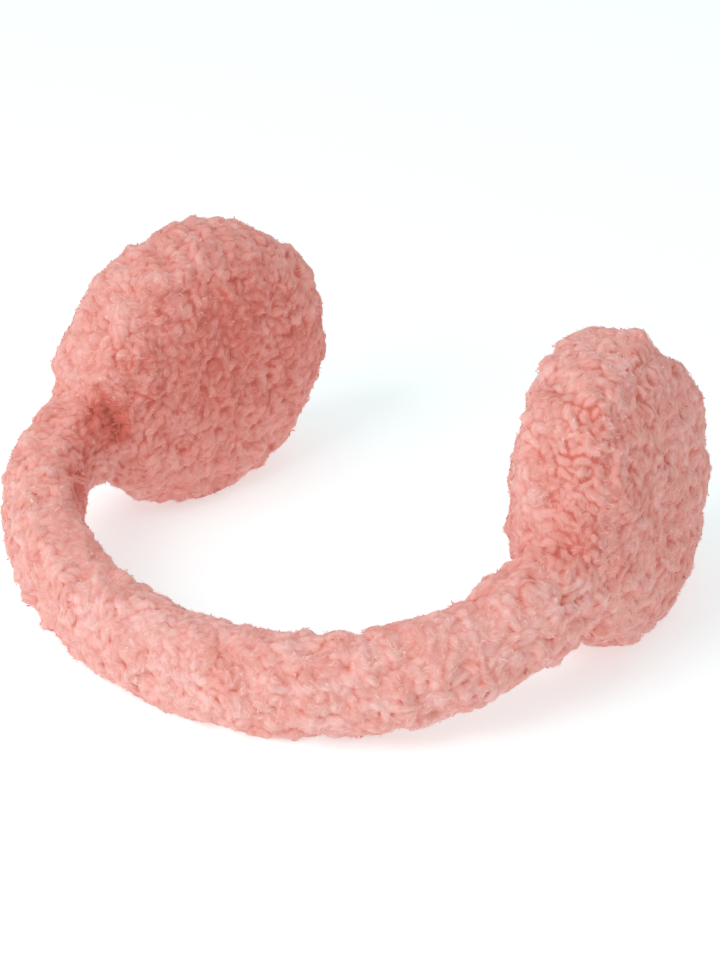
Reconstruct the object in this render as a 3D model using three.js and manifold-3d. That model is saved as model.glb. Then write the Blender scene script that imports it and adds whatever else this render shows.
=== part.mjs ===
// Fur earmuffs: a padded headband between two round ear pads, all covered in curly fleece.
// Millimetres, +Z up. The earmuffs lie flat, on the rims of both pads and on the crown of
// the band. +X runs from the left pad to the right pad, and the crown lies towards -Y.

import * as THREE from "three";
import Module from "manifold-3d";

const wasm = await Module();
wasm.setup();

// Ear pads, measured over the fleece
const PAD_HEIGHT = 111;
const PAD_LENGTH = 123;
const PAD_THICKNESS = 48;
const PAD_SPACING = 186; // between the centres of the two pads
const PAD_SQUARENESS = 3.4; // 2 gives a ball, more gives flatter faces and a fuller rim
const SEAM_SETBACK = 7; // from a pad's face back to the seam round it
const SEAM_DEPTH = 1.8; // how far a seam pulls the fleece in

// Headband, measured over the fleece
const BAND_WIDTH = 37;
const BAND_THICKNESS = 29;
const BAND_SQUARENESS = 2.2;
const CROWN_REACH = 132; // from the pads to the middle of the band at its crown
const CROWN_OFFSET = -2; // how far the crown sits to the right of the middle
const BAND_ROOT = 18; // how deep in a pad's rim the band starts

// Fleece
const LOCK_PITCH = 7.8; // between two neighbouring locks
const LOCK_HEIGHT = 2.2; // from the backing between the locks to their tips
const LOCK_STRAY = 0.7; // how far a lock strays sideways from its place
const LUMP_HEIGHT = 0.7; // of the uneven padding under the fleece
const PRESSED = 2.5; // how much the fleece is pressed flat where it rests
const SEAT_GAP = 0.3; // between pieces that touch

// How each pad stands. side is -1 on the left and 1 on the right. toe_in and lean turn the
// pad's inner face towards the crown and upwards, rise is how far the pad's longer way rises
// towards the crown, and droop is how far the band points down as it leaves the pad, all in
// degrees. setback and lead are shares of CROWN_REACH: how far the pad stands back from the
// pads' line, and how far the band runs straight on from the pad.
const PADS = [
  { name: "left", side: -1, toe_in: 15, lean: -3, rise: 16, droop: 11, setback: 0.014, lead: 0.465 },
  { name: "right", side: 1, toe_in: 7, lean: -8, rise: 16, droop: 12, setback: -0.014, lead: 0.367 },
];
const CROWN_LEAD = 0.485; // share of CROWN_REACH that the band runs straight from its crown

// Girth of the band between a pad (at 0) and the crown (at 1), as shares of its width and
// its thickness.
const BAND_SECTIONS = [
  { at: 0, width: 1.08, thickness: 1.12 },
  { at: 0.2, width: 1.03, thickness: 1.08 },
  { at: 0.4, width: 0.98, thickness: 1 },
  { at: 1, width: 1, thickness: 1 },
];

// Dents of the band, or bulges where the depth is below 0. at is the place along it, from
// the left pad (0) to the right pad (1), and turn the place round it in degrees, 0 on the
// outer side and 90 on top. depth and reach are shares of BAND_WIDTH, sweep is in degrees.
// slant is how far the dent wanders along the band over its sweep, as a share of BAND_WIDTH.
const BAND_FOLDS = [
  { at: 0.31, turn: 40, depth: 0.07, reach: 0.12, sweep: 60, slant: 0.25 },
  { at: 0.52, turn: 130, depth: 0.09, reach: 0.16, sweep: 60, slant: -0.15 },
  { at: 0.55, turn: -10, depth: -0.06, reach: 0.3, sweep: 50, slant: 0 },
  { at: 0.66, turn: 70, depth: 0.05, reach: 0.14, sweep: 80, slant: 0.4 },
  { at: 0.86, turn: 20, depth: 0.06, reach: 0.14, sweep: 90, slant: 0.2 },
];

// Dents of the pads' rims, or bulges where the depth is below 0. around is the place round
// the rim in degrees, 0 at the end of its longer way that lies towards the crown and 90 on
// top. depth is a share of PAD_HEIGHT, and sweep is in degrees.
const RIM_FOLDS = [
  { pad: "left", around: 110, depth: -0.018, sweep: 34 },
  { pad: "left", around: 15, depth: 0.012, sweep: 12 },
  { pad: "right", around: 50, depth: -0.022, sweep: 34 },
  { pad: "right", around: -65, depth: -0.015, sweep: 20 },
  { pad: "right", around: 12, depth: 0.012, sweep: 12 },
];

const POLE = Math.PI / 2;
const LATTICE_STEP = LOCK_PITCH / Math.sqrt(3); // every third point of the lattice is a lock
const ROW_STEP = (LATTICE_STEP * Math.sqrt(3)) / 2;
const HEX_WAYS = [
  [1, 0],
  [0, 1],
  [-1, 1],
  [-1, 0],
  [0, -1],
  [1, -1],
];

const radians = THREE.MathUtils.degToRad;

// A number from -1 to 1 that looks random, and is the same each time for the same a and b.
function scatter(a, b) {
  const wave = Math.sin(a * 127.1 + b * 311.7) * 43758.5453;
  return 2 * (wave - Math.floor(wave)) - 1;
}

// Height of a smooth bump that has faded away at about twice its reach.
function bump(distance, reach) {
  return Math.exp(-((distance / reach) ** 2));
}

// The short way from one angle to another, in degrees from -180 to 180.
function turnBetween(from, to) {
  return ((((to - from) % 360) + 540) % 360) - 180;
}

// A power of a cosine or sine that keeps its sign, as a squarish oval needs.
function signedPower(value, power) {
  return Math.sign(value) * Math.abs(value) ** power;
}

// Points spread evenly along a curve that is given as a function of a share from 0 to 1.
function spread(curveAt, steps) {
  const fine = Array.from({ length: 161 }, (_, i) => curveAt(i / 160));
  return new THREE.SplineCurve(fine).getSpacedPoints(steps);
}

// A value between the rows of a table with an "at" column.
function between(rows, column, at) {
  const next = rows.findIndex((row) => row.at >= at);
  if (next <= 0) return rows[0][column];
  const [low, high] = [rows[next - 1], rows[next]];
  const share = THREE.MathUtils.smoothstep(at, low.at, high.at);
  return THREE.MathUtils.lerp(low[column], high[column], share);
}

// A closed skin being sewn together. Each point has a place in the lattice of locks, with
// tip true where a lock stands, or null where the skin stays plain.
class Skin {
  constructor() {
    this.points = [];
    this.places = [];
    this.faces = [];
  }

  add(point, place = null) {
    this.points.push(point);
    this.places.push(place);
    return this.points.length - 1;
  }

  // A row of points round the piece. Odd rows stand half a step on, so that the rows make a
  // lattice of equal triangles, and no two tips are neighbours.
  row(index, points, plain = false) {
    return points.map((point, i) => {
      const colour = i - Math.floor(index / 2) - index;
      const tip = ((colour % 3) + 3) % 3 === 0;
      return this.add(point, plain ? null : { i, row: index, tip });
    });
  }

  // The band of triangles between row number index and the next.
  zip(index, row, next) {
    row.forEach((point, i) => {
      const j = (i + 1) % row.length;
      if (index % 2 === 0) {
        this.faces.push([point, row[j], next[i]], [row[j], next[j], next[i]]);
      } else {
        this.faces.push([point, row[j], next[j]], [point, next[j], next[i]]);
      }
    });
  }

  // A flat fan of triangles that closes a row, facing on along the rows or back.
  close(row, middle, facesOn) {
    const centre = this.add(middle);
    row.forEach((point, i) => {
      const beside = row[(i + 1) % row.length];
      this.faces.push(facesOn ? [centre, point, beside] : [centre, beside, point]);
    });
  }

  geometry() {
    const geometry = new THREE.BufferGeometry();
    const values = this.points.flatMap((point) => point.toArray());
    geometry.setAttribute("position", new THREE.Float32BufferAttribute(values, 3));
    geometry.setIndex(this.faces.flat());
    return geometry;
  }

  // The finished fleece. Each lattice point moves along the skin's normal, out to the tip of
  // a lock or in to the backing, unevenly, and in by the fold that runs there, and it strays
  // a little sideways.
  fleece(foldAt) {
    const geometry = this.geometry();
    geometry.computeVertexNormals();
    const normals = geometry.getAttribute("normal");
    const places = geometry.getAttribute("position");
    this.places.forEach((place, n) => {
      if (place === null) return;
      const normal = new THREE.Vector3().fromBufferAttribute(normals, n);
      const uneven = 0.25 * scatter(place.i, place.row);
      const height = LOCK_HEIGHT * ((place.tip ? 0.5 : -0.5) + uneven) - foldAt(place);
      const stray = new THREE.Vector3(
        scatter(n, 1),
        scatter(n, 2),
        scatter(n, 3),
      ).projectOnPlane(normal);
      const point = this.points[n].clone();
      point.addScaledVector(normal, height).addScaledVector(stray, LOCK_STRAY);
      places.setXYZ(n, ...point.toArray());
    });
    geometry.deleteAttribute("normal");
    return geometry;
  }
}

// Fleece of the photographed kind, with the pile's warm pink a little apart on each piece.
function fleeceMesh(name, geometry, colour) {
  const material = new THREE.MeshStandardMaterial({ color: colour, roughness: 0.95, metalness: 0 });
  const mesh = new THREE.Mesh(geometry, material);
  mesh.name = name;
  return mesh;
}

// A pad's half section as shares of its half length or height (x) and of its half thickness
// (y): a turn of 0 is the middle of the rim, and a turn of POLE the middle of a face.
function padSection(turn) {
  const power = 2 / PAD_SQUARENESS;
  return new THREE.Vector2(
    signedPower(Math.cos(turn), power),
    signedPower(Math.sin(turn), power),
  );
}

const SEAM_HEIGHT = PAD_THICKNESS / 2 - SEAM_SETBACK; // of a seam over the pad's middle plane
const SEAM_TURN = Math.asin((SEAM_HEIGHT / (PAD_THICKNESS / 2)) ** (PAD_SQUARENESS / 2));
const SEAM_PULL = SEAM_DEPTH / (PAD_HEIGHT / 2);

// The pad's section from one turn to another, spread evenly in steps of about one length.
function padStretch(from, to, stepLength) {
  const middle = (PAD_HEIGHT + PAD_LENGTH) / 4;
  const size = new THREE.Vector2(middle, PAD_THICKNESS / 2);
  const at = (share) => padSection(THREE.MathUtils.lerp(from, to, share)).multiply(size);
  const length = new THREE.SplineCurve([0, 0.25, 0.5, 0.75, 1].map(at)).getLength();
  const steps = Math.max(3, Math.round(length / stepLength));
  return spread(at, steps).map((point) => point.divide(size));
}

// A point of the pad's skin, from its section's shares and its place round the pad.
function padPoint(out, height, around) {
  return new THREE.Vector3(
    (PAD_LENGTH / 2) * out * Math.cos(around),
    (PAD_HEIGHT / 2) * out * Math.sin(around),
    height,
  );
}

// Uneven padding along a rim or a face, at a place round the pad in radians.
function padLump(around, row, phase) {
  return LUMP_HEIGHT * Math.sin(3 * around + 0.5 * row + phase) * Math.cos(2 * around - phase);
}

// The rim of a pad between its two seams, stuffed and flat where the faces are sewn on.
function padRim(pad) {
  const skin = new Skin();
  const section = padStretch(-SEAM_TURN, SEAM_TURN, ROW_STEP);
  const last = section.length - 1;
  const perimeter = (Math.PI * (PAD_HEIGHT + PAD_LENGTH)) / 2;
  const count = 3 * Math.round(perimeter / LATTICE_STEP / 3);
  const rows = section.map((share, index) => {
    const atSeam = index === 0 || index === last;
    const side = Math.sign(index - last / 2);
    const out = atSeam ? share.x - SEAM_PULL : share.x;
    const flat = side * (SEAM_HEIGHT - SEAT_GAP / 2);
    const height = atSeam ? flat : (share.y * PAD_THICKNESS) / 2;
    const points = Array.from({ length: count }, (_, i) =>
      padPoint(out, height, (2 * Math.PI * (i + (index % 2) / 2)) / count),
    );
    return skin.row(index, points, atSeam);
  });
  rows.slice(1).forEach((row, index) => skin.zip(index, rows[index], row));
  skin.close(rows[0], new THREE.Vector3(0, 0, -SEAM_HEIGHT + SEAT_GAP / 2), false);
  skin.close(rows[last], new THREE.Vector3(0, 0, SEAM_HEIGHT - SEAT_GAP / 2), true);
  const folds = RIM_FOLDS.filter((fold) => fold.pad === pad.name);
  return skin.fleece(({ i, row }) => {
    const around = (360 * (i + (row % 2) / 2)) / count;
    const fromMiddle = (row - last / 2) / (last / 2);
    const fold = folds.reduce(
      (sum, { around: at, depth, sweep }) =>
        sum + depth * PAD_HEIGHT * bump(turnBetween(at, around), sweep),
      0,
    );
    return fold * (1 - fromMiddle ** 4) + padLump(radians(around), row, pad.side);
  });
}

// A face of a pad: a shallow cushion over the seam, flat where it is sewn on. Its lattice is
// a hexagon's, with six more points on each ring than on the one inside it.
function padFace(pad, phase) {
  const skin = new Skin();
  const section = padStretch(POLE, SEAM_TURN, LATTICE_STEP);
  const last = section.length - 1;
  const rings = section.map((share, ring) => {
    const atSeam = ring === last;
    const out = atSeam ? share.x - SEAM_PULL : share.x;
    const height = atSeam ? SEAM_HEIGHT + SEAT_GAP / 2 : (share.y * PAD_THICKNESS) / 2;
    const count = Math.max(1, 6 * ring);
    return Array.from({ length: count }, (_, i) => {
      const [way, step] = [Math.floor(i / Math.max(1, ring)), i % Math.max(1, ring)];
      const [a, b] = [HEX_WAYS[way], HEX_WAYS[(way + 2) % 6]];
      const colour = ring * (a[0] - a[1]) + step * (b[0] - b[1]);
      const tip = ((colour % 3) + 3) % 3 === 0;
      const point = padPoint(out, height, (2 * Math.PI * i) / count);
      return skin.add(point, atSeam ? null : { i: i / count, row: ring, tip });
    });
  });
  rings.slice(1).forEach((outer, ring) => {
    const inner = rings[ring];
    for (let way = 0; way < 6; way++) {
      for (let step = 0; step <= ring; step++) {
        const at = inner[(way * ring + step) % inner.length];
        const near = outer[way * (ring + 1) + step];
        const far = outer[(way * (ring + 1) + step + 1) % outer.length];
        skin.faces.push([at, near, far]);
        if (step === ring) continue;
        skin.faces.push([at, far, inner[(way * ring + step + 1) % inner.length]]);
      }
    }
  });
  skin.close(rings[last], new THREE.Vector3(0, 0, SEAM_HEIGHT + SEAT_GAP / 2), false);
  return skin.fleece(({ i, row }) => padLump(2 * Math.PI * i, row, phase + pad.side));
}

// How far a standing pad reaches down from its centre, for its own directions in the hoop.
function reachDown({ long, high, through }) {
  const rim = Math.hypot((PAD_LENGTH / 2) * long.z, (PAD_HEIGHT / 2) * high.z);
  const edge = (PAD_THICKNESS / 2) * Math.abs(through.z);
  const turns = Array.from({ length: 91 }, (_, i) => padSection(radians(i)));
  return Math.max(...turns.map((share) => rim * share.x + edge * share.y));
}

// The directions of a pad: ahead towards the crown and up, then its own longer way, its
// height and through its thickness.
function padAxes({ side, toe_in, lean, rise }) {
  const [turn, tilt] = [radians(toe_in), radians(lean)];
  const ahead = new THREE.Vector3(side * Math.sin(turn), -Math.cos(turn), 0);
  const through = new THREE.Vector3(
    -Math.cos(turn) * Math.cos(tilt),
    -side * Math.sin(turn) * Math.cos(tilt),
    side * Math.sin(tilt),
  );
  const up = through.clone().cross(ahead);
  const long = ahead.clone().applyAxisAngle(through, radians(rise));
  const high = up.clone().applyAxisAngle(through, radians(rise));
  return { ahead, up, long, high, through };
}

// A whole pad, standing on its rim, as a group of its rim and its two faces.
function earPad(pad) {
  const group = new THREE.Group();
  const axes = padAxes(pad);
  const turned = new THREE.Matrix4().makeBasis(axes.long, axes.high, axes.through);
  group.quaternion.setFromRotationMatrix(turned);
  group.position.set(
    (pad.side * PAD_SPACING) / 2,
    pad.setback * CROWN_REACH,
    reachDown(axes) - PRESSED,
  );
  const rim = fleeceMesh(`${pad.name}_pad_rim`, padRim(pad), 0xe6a8a0);
  const inner = fleeceMesh(`${pad.name}_pad_inner_face`, padFace(pad, 1), 0xdd9489);
  const outer = fleeceMesh(`${pad.name}_pad_outer_face`, padFace(pad, 3), 0xe2a096);
  const behind = pad.side > 0 ? outer : inner;
  behind.rotation.x = Math.PI;
  group.add(rim, inner, outer);
  group.updateMatrixWorld(true);
  return { pad, group, axes };
}

// The line that the middle of the band follows, from inside one pad to inside the other.
function bandLine(pads) {
  const crown = new THREE.Vector3(CROWN_OFFSET, -CROWN_REACH, BAND_WIDTH / 2 - PRESSED);
  const halves = pads.map(({ pad, group, axes }) => {
    const away = axes.ahead
      .clone()
      .multiplyScalar(Math.cos(radians(pad.droop)))
      .addScaledVector(axes.up, -Math.sin(radians(pad.droop)));
    const root = group.position.clone().addScaledVector(away, PAD_LENGTH / 2 - BAND_ROOT);
    const lead = root.clone().addScaledVector(away, pad.lead * CROWN_REACH);
    const towards = crown.clone();
    towards.x += pad.side * CROWN_LEAD * CROWN_REACH;
    return [root, lead, towards, crown];
  });
  const line = new THREE.CurvePath();
  line.add(new THREE.CubicBezierCurve3(...halves[0]));
  line.add(new THREE.CubicBezierCurve3(...halves[1].reverse()));
  return line;
}

// How deep the band's folds press in at a place along it (a share) and round it (degrees).
function bandFold(at, turn, length) {
  return BAND_FOLDS.reduce((sum, fold) => {
    const off = turnBetween(fold.turn, turn);
    const slant = (fold.slant * BAND_WIDTH * off) / fold.sweep;
    const along = (at - fold.at) * length - slant;
    const depth = fold.depth * BAND_WIDTH * bump(along, fold.reach * BAND_WIDTH);
    return sum + depth * bump(off, fold.sweep);
  }, 0);
}

// The padded band before its ends are fitted to the pads: a squarish oval section carried
// along the line, with its width kept upright.
function headband(line) {
  const skin = new Skin();
  const length = line.getLength();
  const girth = (Math.PI * (BAND_WIDTH + BAND_THICKNESS)) / 2;
  const count = 3 * Math.round(girth / LATTICE_STEP / 3);
  const steps = Math.round(length / ROW_STEP);
  const power = 2 / BAND_SQUARENESS;
  const stations = Array.from({ length: steps + 1 }, (_, index) => {
    const at = index / steps;
    const along = line.getTangentAt(at);
    const outward = new THREE.Vector3(along.y, -along.x, 0).normalize();
    const up = outward.clone().cross(along).negate();
    return { at, along, outward, up, middle: line.getPointAt(at) };
  });
  const rows = stations.map(({ at, outward, up, middle }, index) => {
    const fromPad = 1 - Math.abs(2 * at - 1);
    const halfWidth = (BAND_WIDTH / 2) * between(BAND_SECTIONS, "width", fromPad);
    const halfThickness = (BAND_THICKNESS / 2) * between(BAND_SECTIONS, "thickness", fromPad);
    const points = Array.from({ length: count }, (_, i) => {
      const turn = (2 * Math.PI * (i + (index % 2) / 2)) / count;
      return middle
        .clone()
        .addScaledVector(outward, halfThickness * signedPower(Math.cos(turn), power))
        .addScaledVector(up, halfWidth * signedPower(Math.sin(turn), power));
    });
    return skin.row(index, points);
  });
  rows.slice(1).forEach((row, index) => skin.zip(index, rows[index], row));
  skin.close(rows[0], stations[0].middle, false);
  skin.close(rows[steps], stations[steps].middle, true);
  return skin.fleece(({ i, row }) => {
    const at = row / steps;
    const turn = (360 * (i + (row % 2) / 2)) / count;
    const lump = LUMP_HEIGHT * Math.sin(0.31 * row + radians(2 * turn)) * Math.cos(0.17 * row);
    return bandFold(at, turn, length) + lump;
  });
}

// Presses a mesh flat against the surface that the earmuffs lie on.
function press(mesh) {
  const places = mesh.geometry.getAttribute("position");
  const point = new THREE.Vector3();
  for (let i = 0; i < places.count; i++) {
    mesh.localToWorld(point.fromBufferAttribute(places, i));
    if (point.z >= 0) continue;
    point.z = 0;
    places.setXYZ(i, ...mesh.worldToLocal(point).toArray());
  }
}

// How far each point of a geometry has to move along its normal for all the faces round it
// to move out by one length.
function mitres(geometry) {
  const places = geometry.getAttribute("position");
  const normals = geometry.getAttribute("normal");
  const least = new Float32Array(places.count).fill(1);
  const corners = [0, 1, 2].map(() => new THREE.Vector3());
  const [face, faceNormal, normal] = [new THREE.Triangle(), new THREE.Vector3(), new THREE.Vector3()];
  for (let i = 0; i < geometry.index.count; i += 3) {
    const triangle = [0, 1, 2].map((k) => geometry.index.getX(i + k));
    triangle.forEach((n, k) => corners[k].fromBufferAttribute(places, n));
    face.set(...corners).getNormal(faceNormal);
    triangle.forEach((n) => {
      const lean = faceNormal.dot(normal.fromBufferAttribute(normals, n));
      least[n] = Math.min(least[n], lean);
    });
  }
  return least.map((lean) => 1 / Math.max(lean, 0.3));
}

// A mesh as a solid in the hoop's frame, with all its faces moved out by the growth.
function solidOf(mesh, growth = 0) {
  const geometry = mesh.geometry.clone().applyMatrix4(mesh.matrixWorld);
  geometry.computeVertexNormals();
  const places = geometry.getAttribute("position").array;
  const normals = geometry.getAttribute("normal").array;
  const reach = mitres(geometry);
  const vertProperties = places.map(
    (value, i) => value + growth * reach[Math.floor(i / 3)] * normals[i],
  );
  const triVerts = new Uint32Array(geometry.index.array);
  return new wasm.Manifold(new wasm.Mesh({ numProp: 3, vertProperties, triVerts }));
}

// Fits the ends of the band to the pads by cutting away the pads' shapes, each grown by the
// gap at the seat.
function fitToPads(band, padMeshes) {
  const cut = padMeshes.reduce(
    (solid, mesh) => solid.subtract(solidOf(mesh)).subtract(solidOf(mesh, SEAT_GAP)),
    solidOf(band),
  );
  const [body] = cut.decompose().sort((a, b) => b.volume() - a.volume());
  const { vertProperties, triVerts } = body.getMesh();
  const geometry = new THREE.BufferGeometry();
  geometry.setAttribute("position", new THREE.BufferAttribute(vertProperties, 3));
  geometry.setIndex(new THREE.BufferAttribute(triVerts, 1));
  return geometry;
}

const pads = PADS.map(earPad);
const padMeshes = pads.flatMap(({ group }) => group.children);
padMeshes.forEach(press);

const band = fleeceMesh("headband", headband(bandLine(pads)), 0xe8b0a8);
press(band);
band.geometry = fitToPads(band, padMeshes);

// The origin is on the surface that the earmuffs lie on, at the middle of their outline.
const earmuffs = new THREE.Group();
earmuffs.add(band, ...pads.map(({ group }) => group));
const middle = new THREE.Box3().setFromObject(earmuffs, true).getCenter(new THREE.Vector3());
earmuffs.position.set(-middle.x, -middle.y, 0);

export default earmuffs;
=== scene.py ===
"""Fleece earmuffs: a padded headband between two round ear pads, all in curly fleece.

Everything is in metres. +Z is up from the floor that the earmuffs lie on, +X runs from the left
pad to the right pad, and the crown of the band lies towards -Y.
"""

import math

import bpy
import numpy as np
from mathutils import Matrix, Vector


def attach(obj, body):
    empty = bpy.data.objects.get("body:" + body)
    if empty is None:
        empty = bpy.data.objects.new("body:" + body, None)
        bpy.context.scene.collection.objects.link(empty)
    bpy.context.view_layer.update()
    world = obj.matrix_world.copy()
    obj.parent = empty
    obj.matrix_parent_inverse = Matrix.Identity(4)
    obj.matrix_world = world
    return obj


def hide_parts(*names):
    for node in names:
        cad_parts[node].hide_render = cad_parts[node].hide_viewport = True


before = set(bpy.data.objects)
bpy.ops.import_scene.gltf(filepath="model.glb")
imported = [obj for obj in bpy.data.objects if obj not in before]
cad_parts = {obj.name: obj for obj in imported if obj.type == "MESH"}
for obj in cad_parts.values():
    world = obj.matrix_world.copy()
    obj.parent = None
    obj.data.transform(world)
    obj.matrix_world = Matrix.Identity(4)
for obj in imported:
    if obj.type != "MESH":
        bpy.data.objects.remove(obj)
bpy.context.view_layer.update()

bl_info = {
    "name": "Fleece Earmuffs",
    "version": (1, 0, 0),
    "blender": (4, 5, 0),
    "location": "3D View > Sidebar > Earmuffs",
    "description": "Padded headband and ear pads in curly fleece, on a pale studio floor",
    "category": "Add Mesh",
}

# How each pad stands. side is -1 on the left and 1 on the right. toe_in and lean turn its inner
# face towards the crown and upwards, rise is how far its longer way rises towards the crown, and
# droop is how far the band points down as it leaves the pad, all in degrees. setback and lead are
# shares of the crown's reach: how far the pad stands back from the pads' line, and how far the
# band runs straight on from the pad.
PADS = {
    "left": dict(side=-1, toe_in=15, lean=-3, rise=16, droop=11, setback=0.014, lead=0.465),
    "right": dict(side=1, toe_in=7, lean=-8, rise=16, droop=12, setback=-0.014, lead=0.367),
}
HOOP_MIDDLE = (0.0014575, 0.0424708)  # where the middle of the pads' line stands

# Girth of the band from a pad (0) to the crown (1), as shares of its width and its thickness.
BAND_SECTIONS = {
    "at": (0, 0.2, 0.4, 1),
    "width": (1.08, 1.03, 0.98, 1),
    "thickness": (1.12, 1.08, 1, 1),
}

# Dents of the band, or bulges where the depth is below 0: the place along it from the left pad
# (0) to the right pad (1), the turn round it (0 is the outer side and 90 the top), then depth,
# reach and slant as shares of the band's width, and the sweep in degrees.
BAND_FOLDS = np.array([
    # at, turn, depth, reach, sweep, slant
    (0.31, 40, 0.07, 0.12, 60, 0.25),
    (0.52, 130, 0.09, 0.16, 60, -0.15),
    (0.55, -10, -0.06, 0.3, 50, 0),
    (0.66, 70, 0.05, 0.14, 80, 0.4),
    (0.86, 20, 0.06, 0.14, 90, 0.2),
])

# Dents of the pads' rims: the place round the rim in degrees, 0 at the end of its longer way
# towards the crown and 90 on top, the depth as a share of the pad's height, and the sweep.
RIM_FOLDS = {
    "left": np.array([(110, -0.018, 34), (15, 0.012, 12)]),
    "right": np.array([(50, -0.022, 34), (-65, -0.015, 20), (12, 0.012, 12)]),
}

# Where the fleece is parted, and where shade and light are painted on it: the place and how far
# it reaches in metres, how far it is pressed in there in metres, how much deeper its clefts are,
# and how much painted shade moves its colour towards the deeper colours. Below 0 it stands out,
# its clefts are shallower, or a painted highlight moves its colour towards the paler ones.
PARTINGS_AND_PAINTED_LIGHT = np.array([
    # x, y, z, reach, press, clefts, painted shade
    # the crease between the band and the left pad, painted dark as shade, pressed in and painted
    # paler at its foot
    (-0.089, -0.012, 0.046, 0.018, 0.0003, 0.4, 0.1),
    (-0.0935, -0.0175, 0.05, 0.011, 0, 0.3, 0.6),
    (-0.089, -0.0116, 0.052, 0.0046, 0, 0.3, 2.2),
    (-0.0878, -0.0108, 0.047, 0.004, 0, 0.3, 1.8),
    (-0.0905, -0.0135, 0.0572, 0.0046, 0, 0.3, 2),
    (-0.092, -0.0152, 0.0612, 0.004, 0, 0.3, 1.2),
    (-0.094, -0.0185, 0.053, 0.01, 0, 0.3, 0.6),
    (-0.0905, -0.0225, 0.031, 0.014, 0.003, 0, -0.6),
    (-0.091, -0.029, 0.046, 0.016, 0, 0.4, 0.8),
    (-0.08, -0.003, 0.069, 0.015, 0, 0.3, 0.5),
    (-0.0875, -0.0395, 0.037, 0.013, 0, 0.3, 1),
    (-0.0815, -0.051, 0.034, 0.012, 0, 0.2, 0.8),
    # the left pad's inner face, with painted shade as it is turned from the light
    (-0.07, 0.03, 0.055, 0.045, 0, 0, 0.8),
    (-0.065, 0.04, 0.088, 0.026, 0, 0.4, 0.8),
    (-0.059, 0.08, 0.05, 0.028, 0, 0, 0.7),
    # the right pad's rim, from over the band to the notch at its top: painted shade, and pressed
    # in at the notch
    (0.109, -0.001, 0.092, 0.024, 0, 0.8, 0.6),
    (0.11, 0.03, 0.101, 0.01, 0.0008, 0.5, 0.3),
    (0.1045, 0.047, 0.106, 0.007, 0.0016, 0.6, 0.5),
    (0.0985, 0.066, 0.102, 0.011, 0.0025, 0.4, 0.4),
    (0.095, 0.072, 0.099, 0.01, 0.003, 0.3, 0.4),
    (0.0965, 0.08, 0.094, 0.01, 0.003, 0.3, 0.4),
    (0.0975, 0.088, 0.087, 0.01, 0.002, 0.3, 0.2),
    (0.0975, 0.048, 0.1105, 0.009, -0.0012, 0, 0),
    (0.1115, -0.02, 0.062, 0.014, -0.0004, 0.7, 0.6),
    # folds of the band, pressed in and with painted shade
    (0.018, -0.1, 0.031, 0.012, 0.001, 0.4, 0.4),
    (0.0485, -0.082, 0.039, 0.01, 0.001, 0.4, 0.4),
    # painted shade on the right pad's outer face, then a painted highlight on the tops of that pad
    # and of the band
    (0.119, 0.035, 0.05, 0.045, 0, 0, 0.35),
    (0.085, 0.03, 0.112, 0.03, -0.0006, 0, -0.4),
    (-0.005, -0.08, 0.037, 0.035, 0, 0, -0.35),
    (0.0495, -0.08, 0.037, 0.022, 0, 0, -0.3),
])
CLEFT_CHANGE = 0.2  # how much the clefts change in depth from patch to patch
CLEFT_RANGE = (-0.4, 1)  # the shallowest and the deepest clefts
PATCH_SIZE = 0.02  # of patches in which the curls head the same way or have like clefts

CAP_RINGS = 10  # rings of the skin that closes each end of the band
END_REACH = 0.16  # share of the band's line along which its end in a pad is looked for
END_STEPS = 481  # places tried along that share
END_CLEAR = 0.0007  # from a pad's backing out to the band's end
END_EASE = 0.001  # how far from its end the band's fleece has its full height
END_FILL = 0.008  # how far from its end the band's hollows are filled
NEAR_PAD = 0.12  # share of the band's line that a rim looks at to find where the band sits
BAND_FOOT = (0.92, 0.99)  # shares of the band's section between which a rim's fleece begins
BAND_RING = (1.35, 1.1)  # and between which a rim's hollows are filled, from none to all
HOLLOW_FLOOR = 0.0003  # height over the outline that hollows are filled to

SEAM_WIDTH = 0.0025  # how far from its seam the fleece is drawn in
SEAM_PULL = 0.2  # share of the seams' depth that is drawn in where the clefts are as usual
SEAM_PILE = (0.6, 0.2)  # share of the whole pile left at a seam, and how much that changes
SEAM_RIPPLE = 0.004  # along a seam, from one such change to the next

FELT_HEIGHT = 0.0002  # of the backing's own unevenness, between the curls
FELT_SIZE = 0.003  # of that unevenness
MIDDLE_TONE = 0.5  # of the backing, between the darkest and the palest curls

WISP_TRIES = 2.2  # places tried for each wisp wanted, as many of them don't count
WISP_SIDE = 0.95  # farthest that one grows to its curl's side, as a share of the radius
WISP_SUNK = 0.0002  # how far under the pile the curl may lie there
WISP_THINNED = 0.6  # share of the wisps that the deepest clefts lack
GROWN = 0.5  # share of its pile from which a point carries wisps
WISP_SEAM = 0.0016  # how far from a seam wisps turn across it
WISP_ACROSS = 2.5  # how strongly they do
WISP_LIFT = (-0.0001, 0.0003)  # least and most, off the curl
WISP_ARCH = 0.00005  # of the middle, over the ends
WISP_CROOK = 0.0004  # usual, of the middle to one side
WISP_CLEAR = 0.0008  # least height over the floor of a wisp's highest corner

# The wisps that lie along their curls, and the strays that stand out of them. rise is the least
# and the most that they rise from the curl, as slopes, length and width are shares of a whole
# wisp's, and behind is how much of a wisp lies behind its root.
LAIN = dict(rise=(-0.08, 0.12), length=1, width=1, behind=0.5)
STRAY = dict(rise=(0.2, 0.9), length=0.6, width=0.5, behind=0.2)

STRAND_SPREAD = 0.05  # how far apart curls and wisps lie in the pattern of fibres
MAP_GRID = 0.96  # how high a skin's grid reaches on its flat map, under the strips of its fans

# How far each finish is moved towards its deeper colours: painted shade that darkens the faces,
# and painted light that makes the band paler.
PAINTED_SHADE_SHIFT = {"band_fleece": -0.05, "rim_fleece": 0.0, "face_fleece": 0.02}

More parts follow.
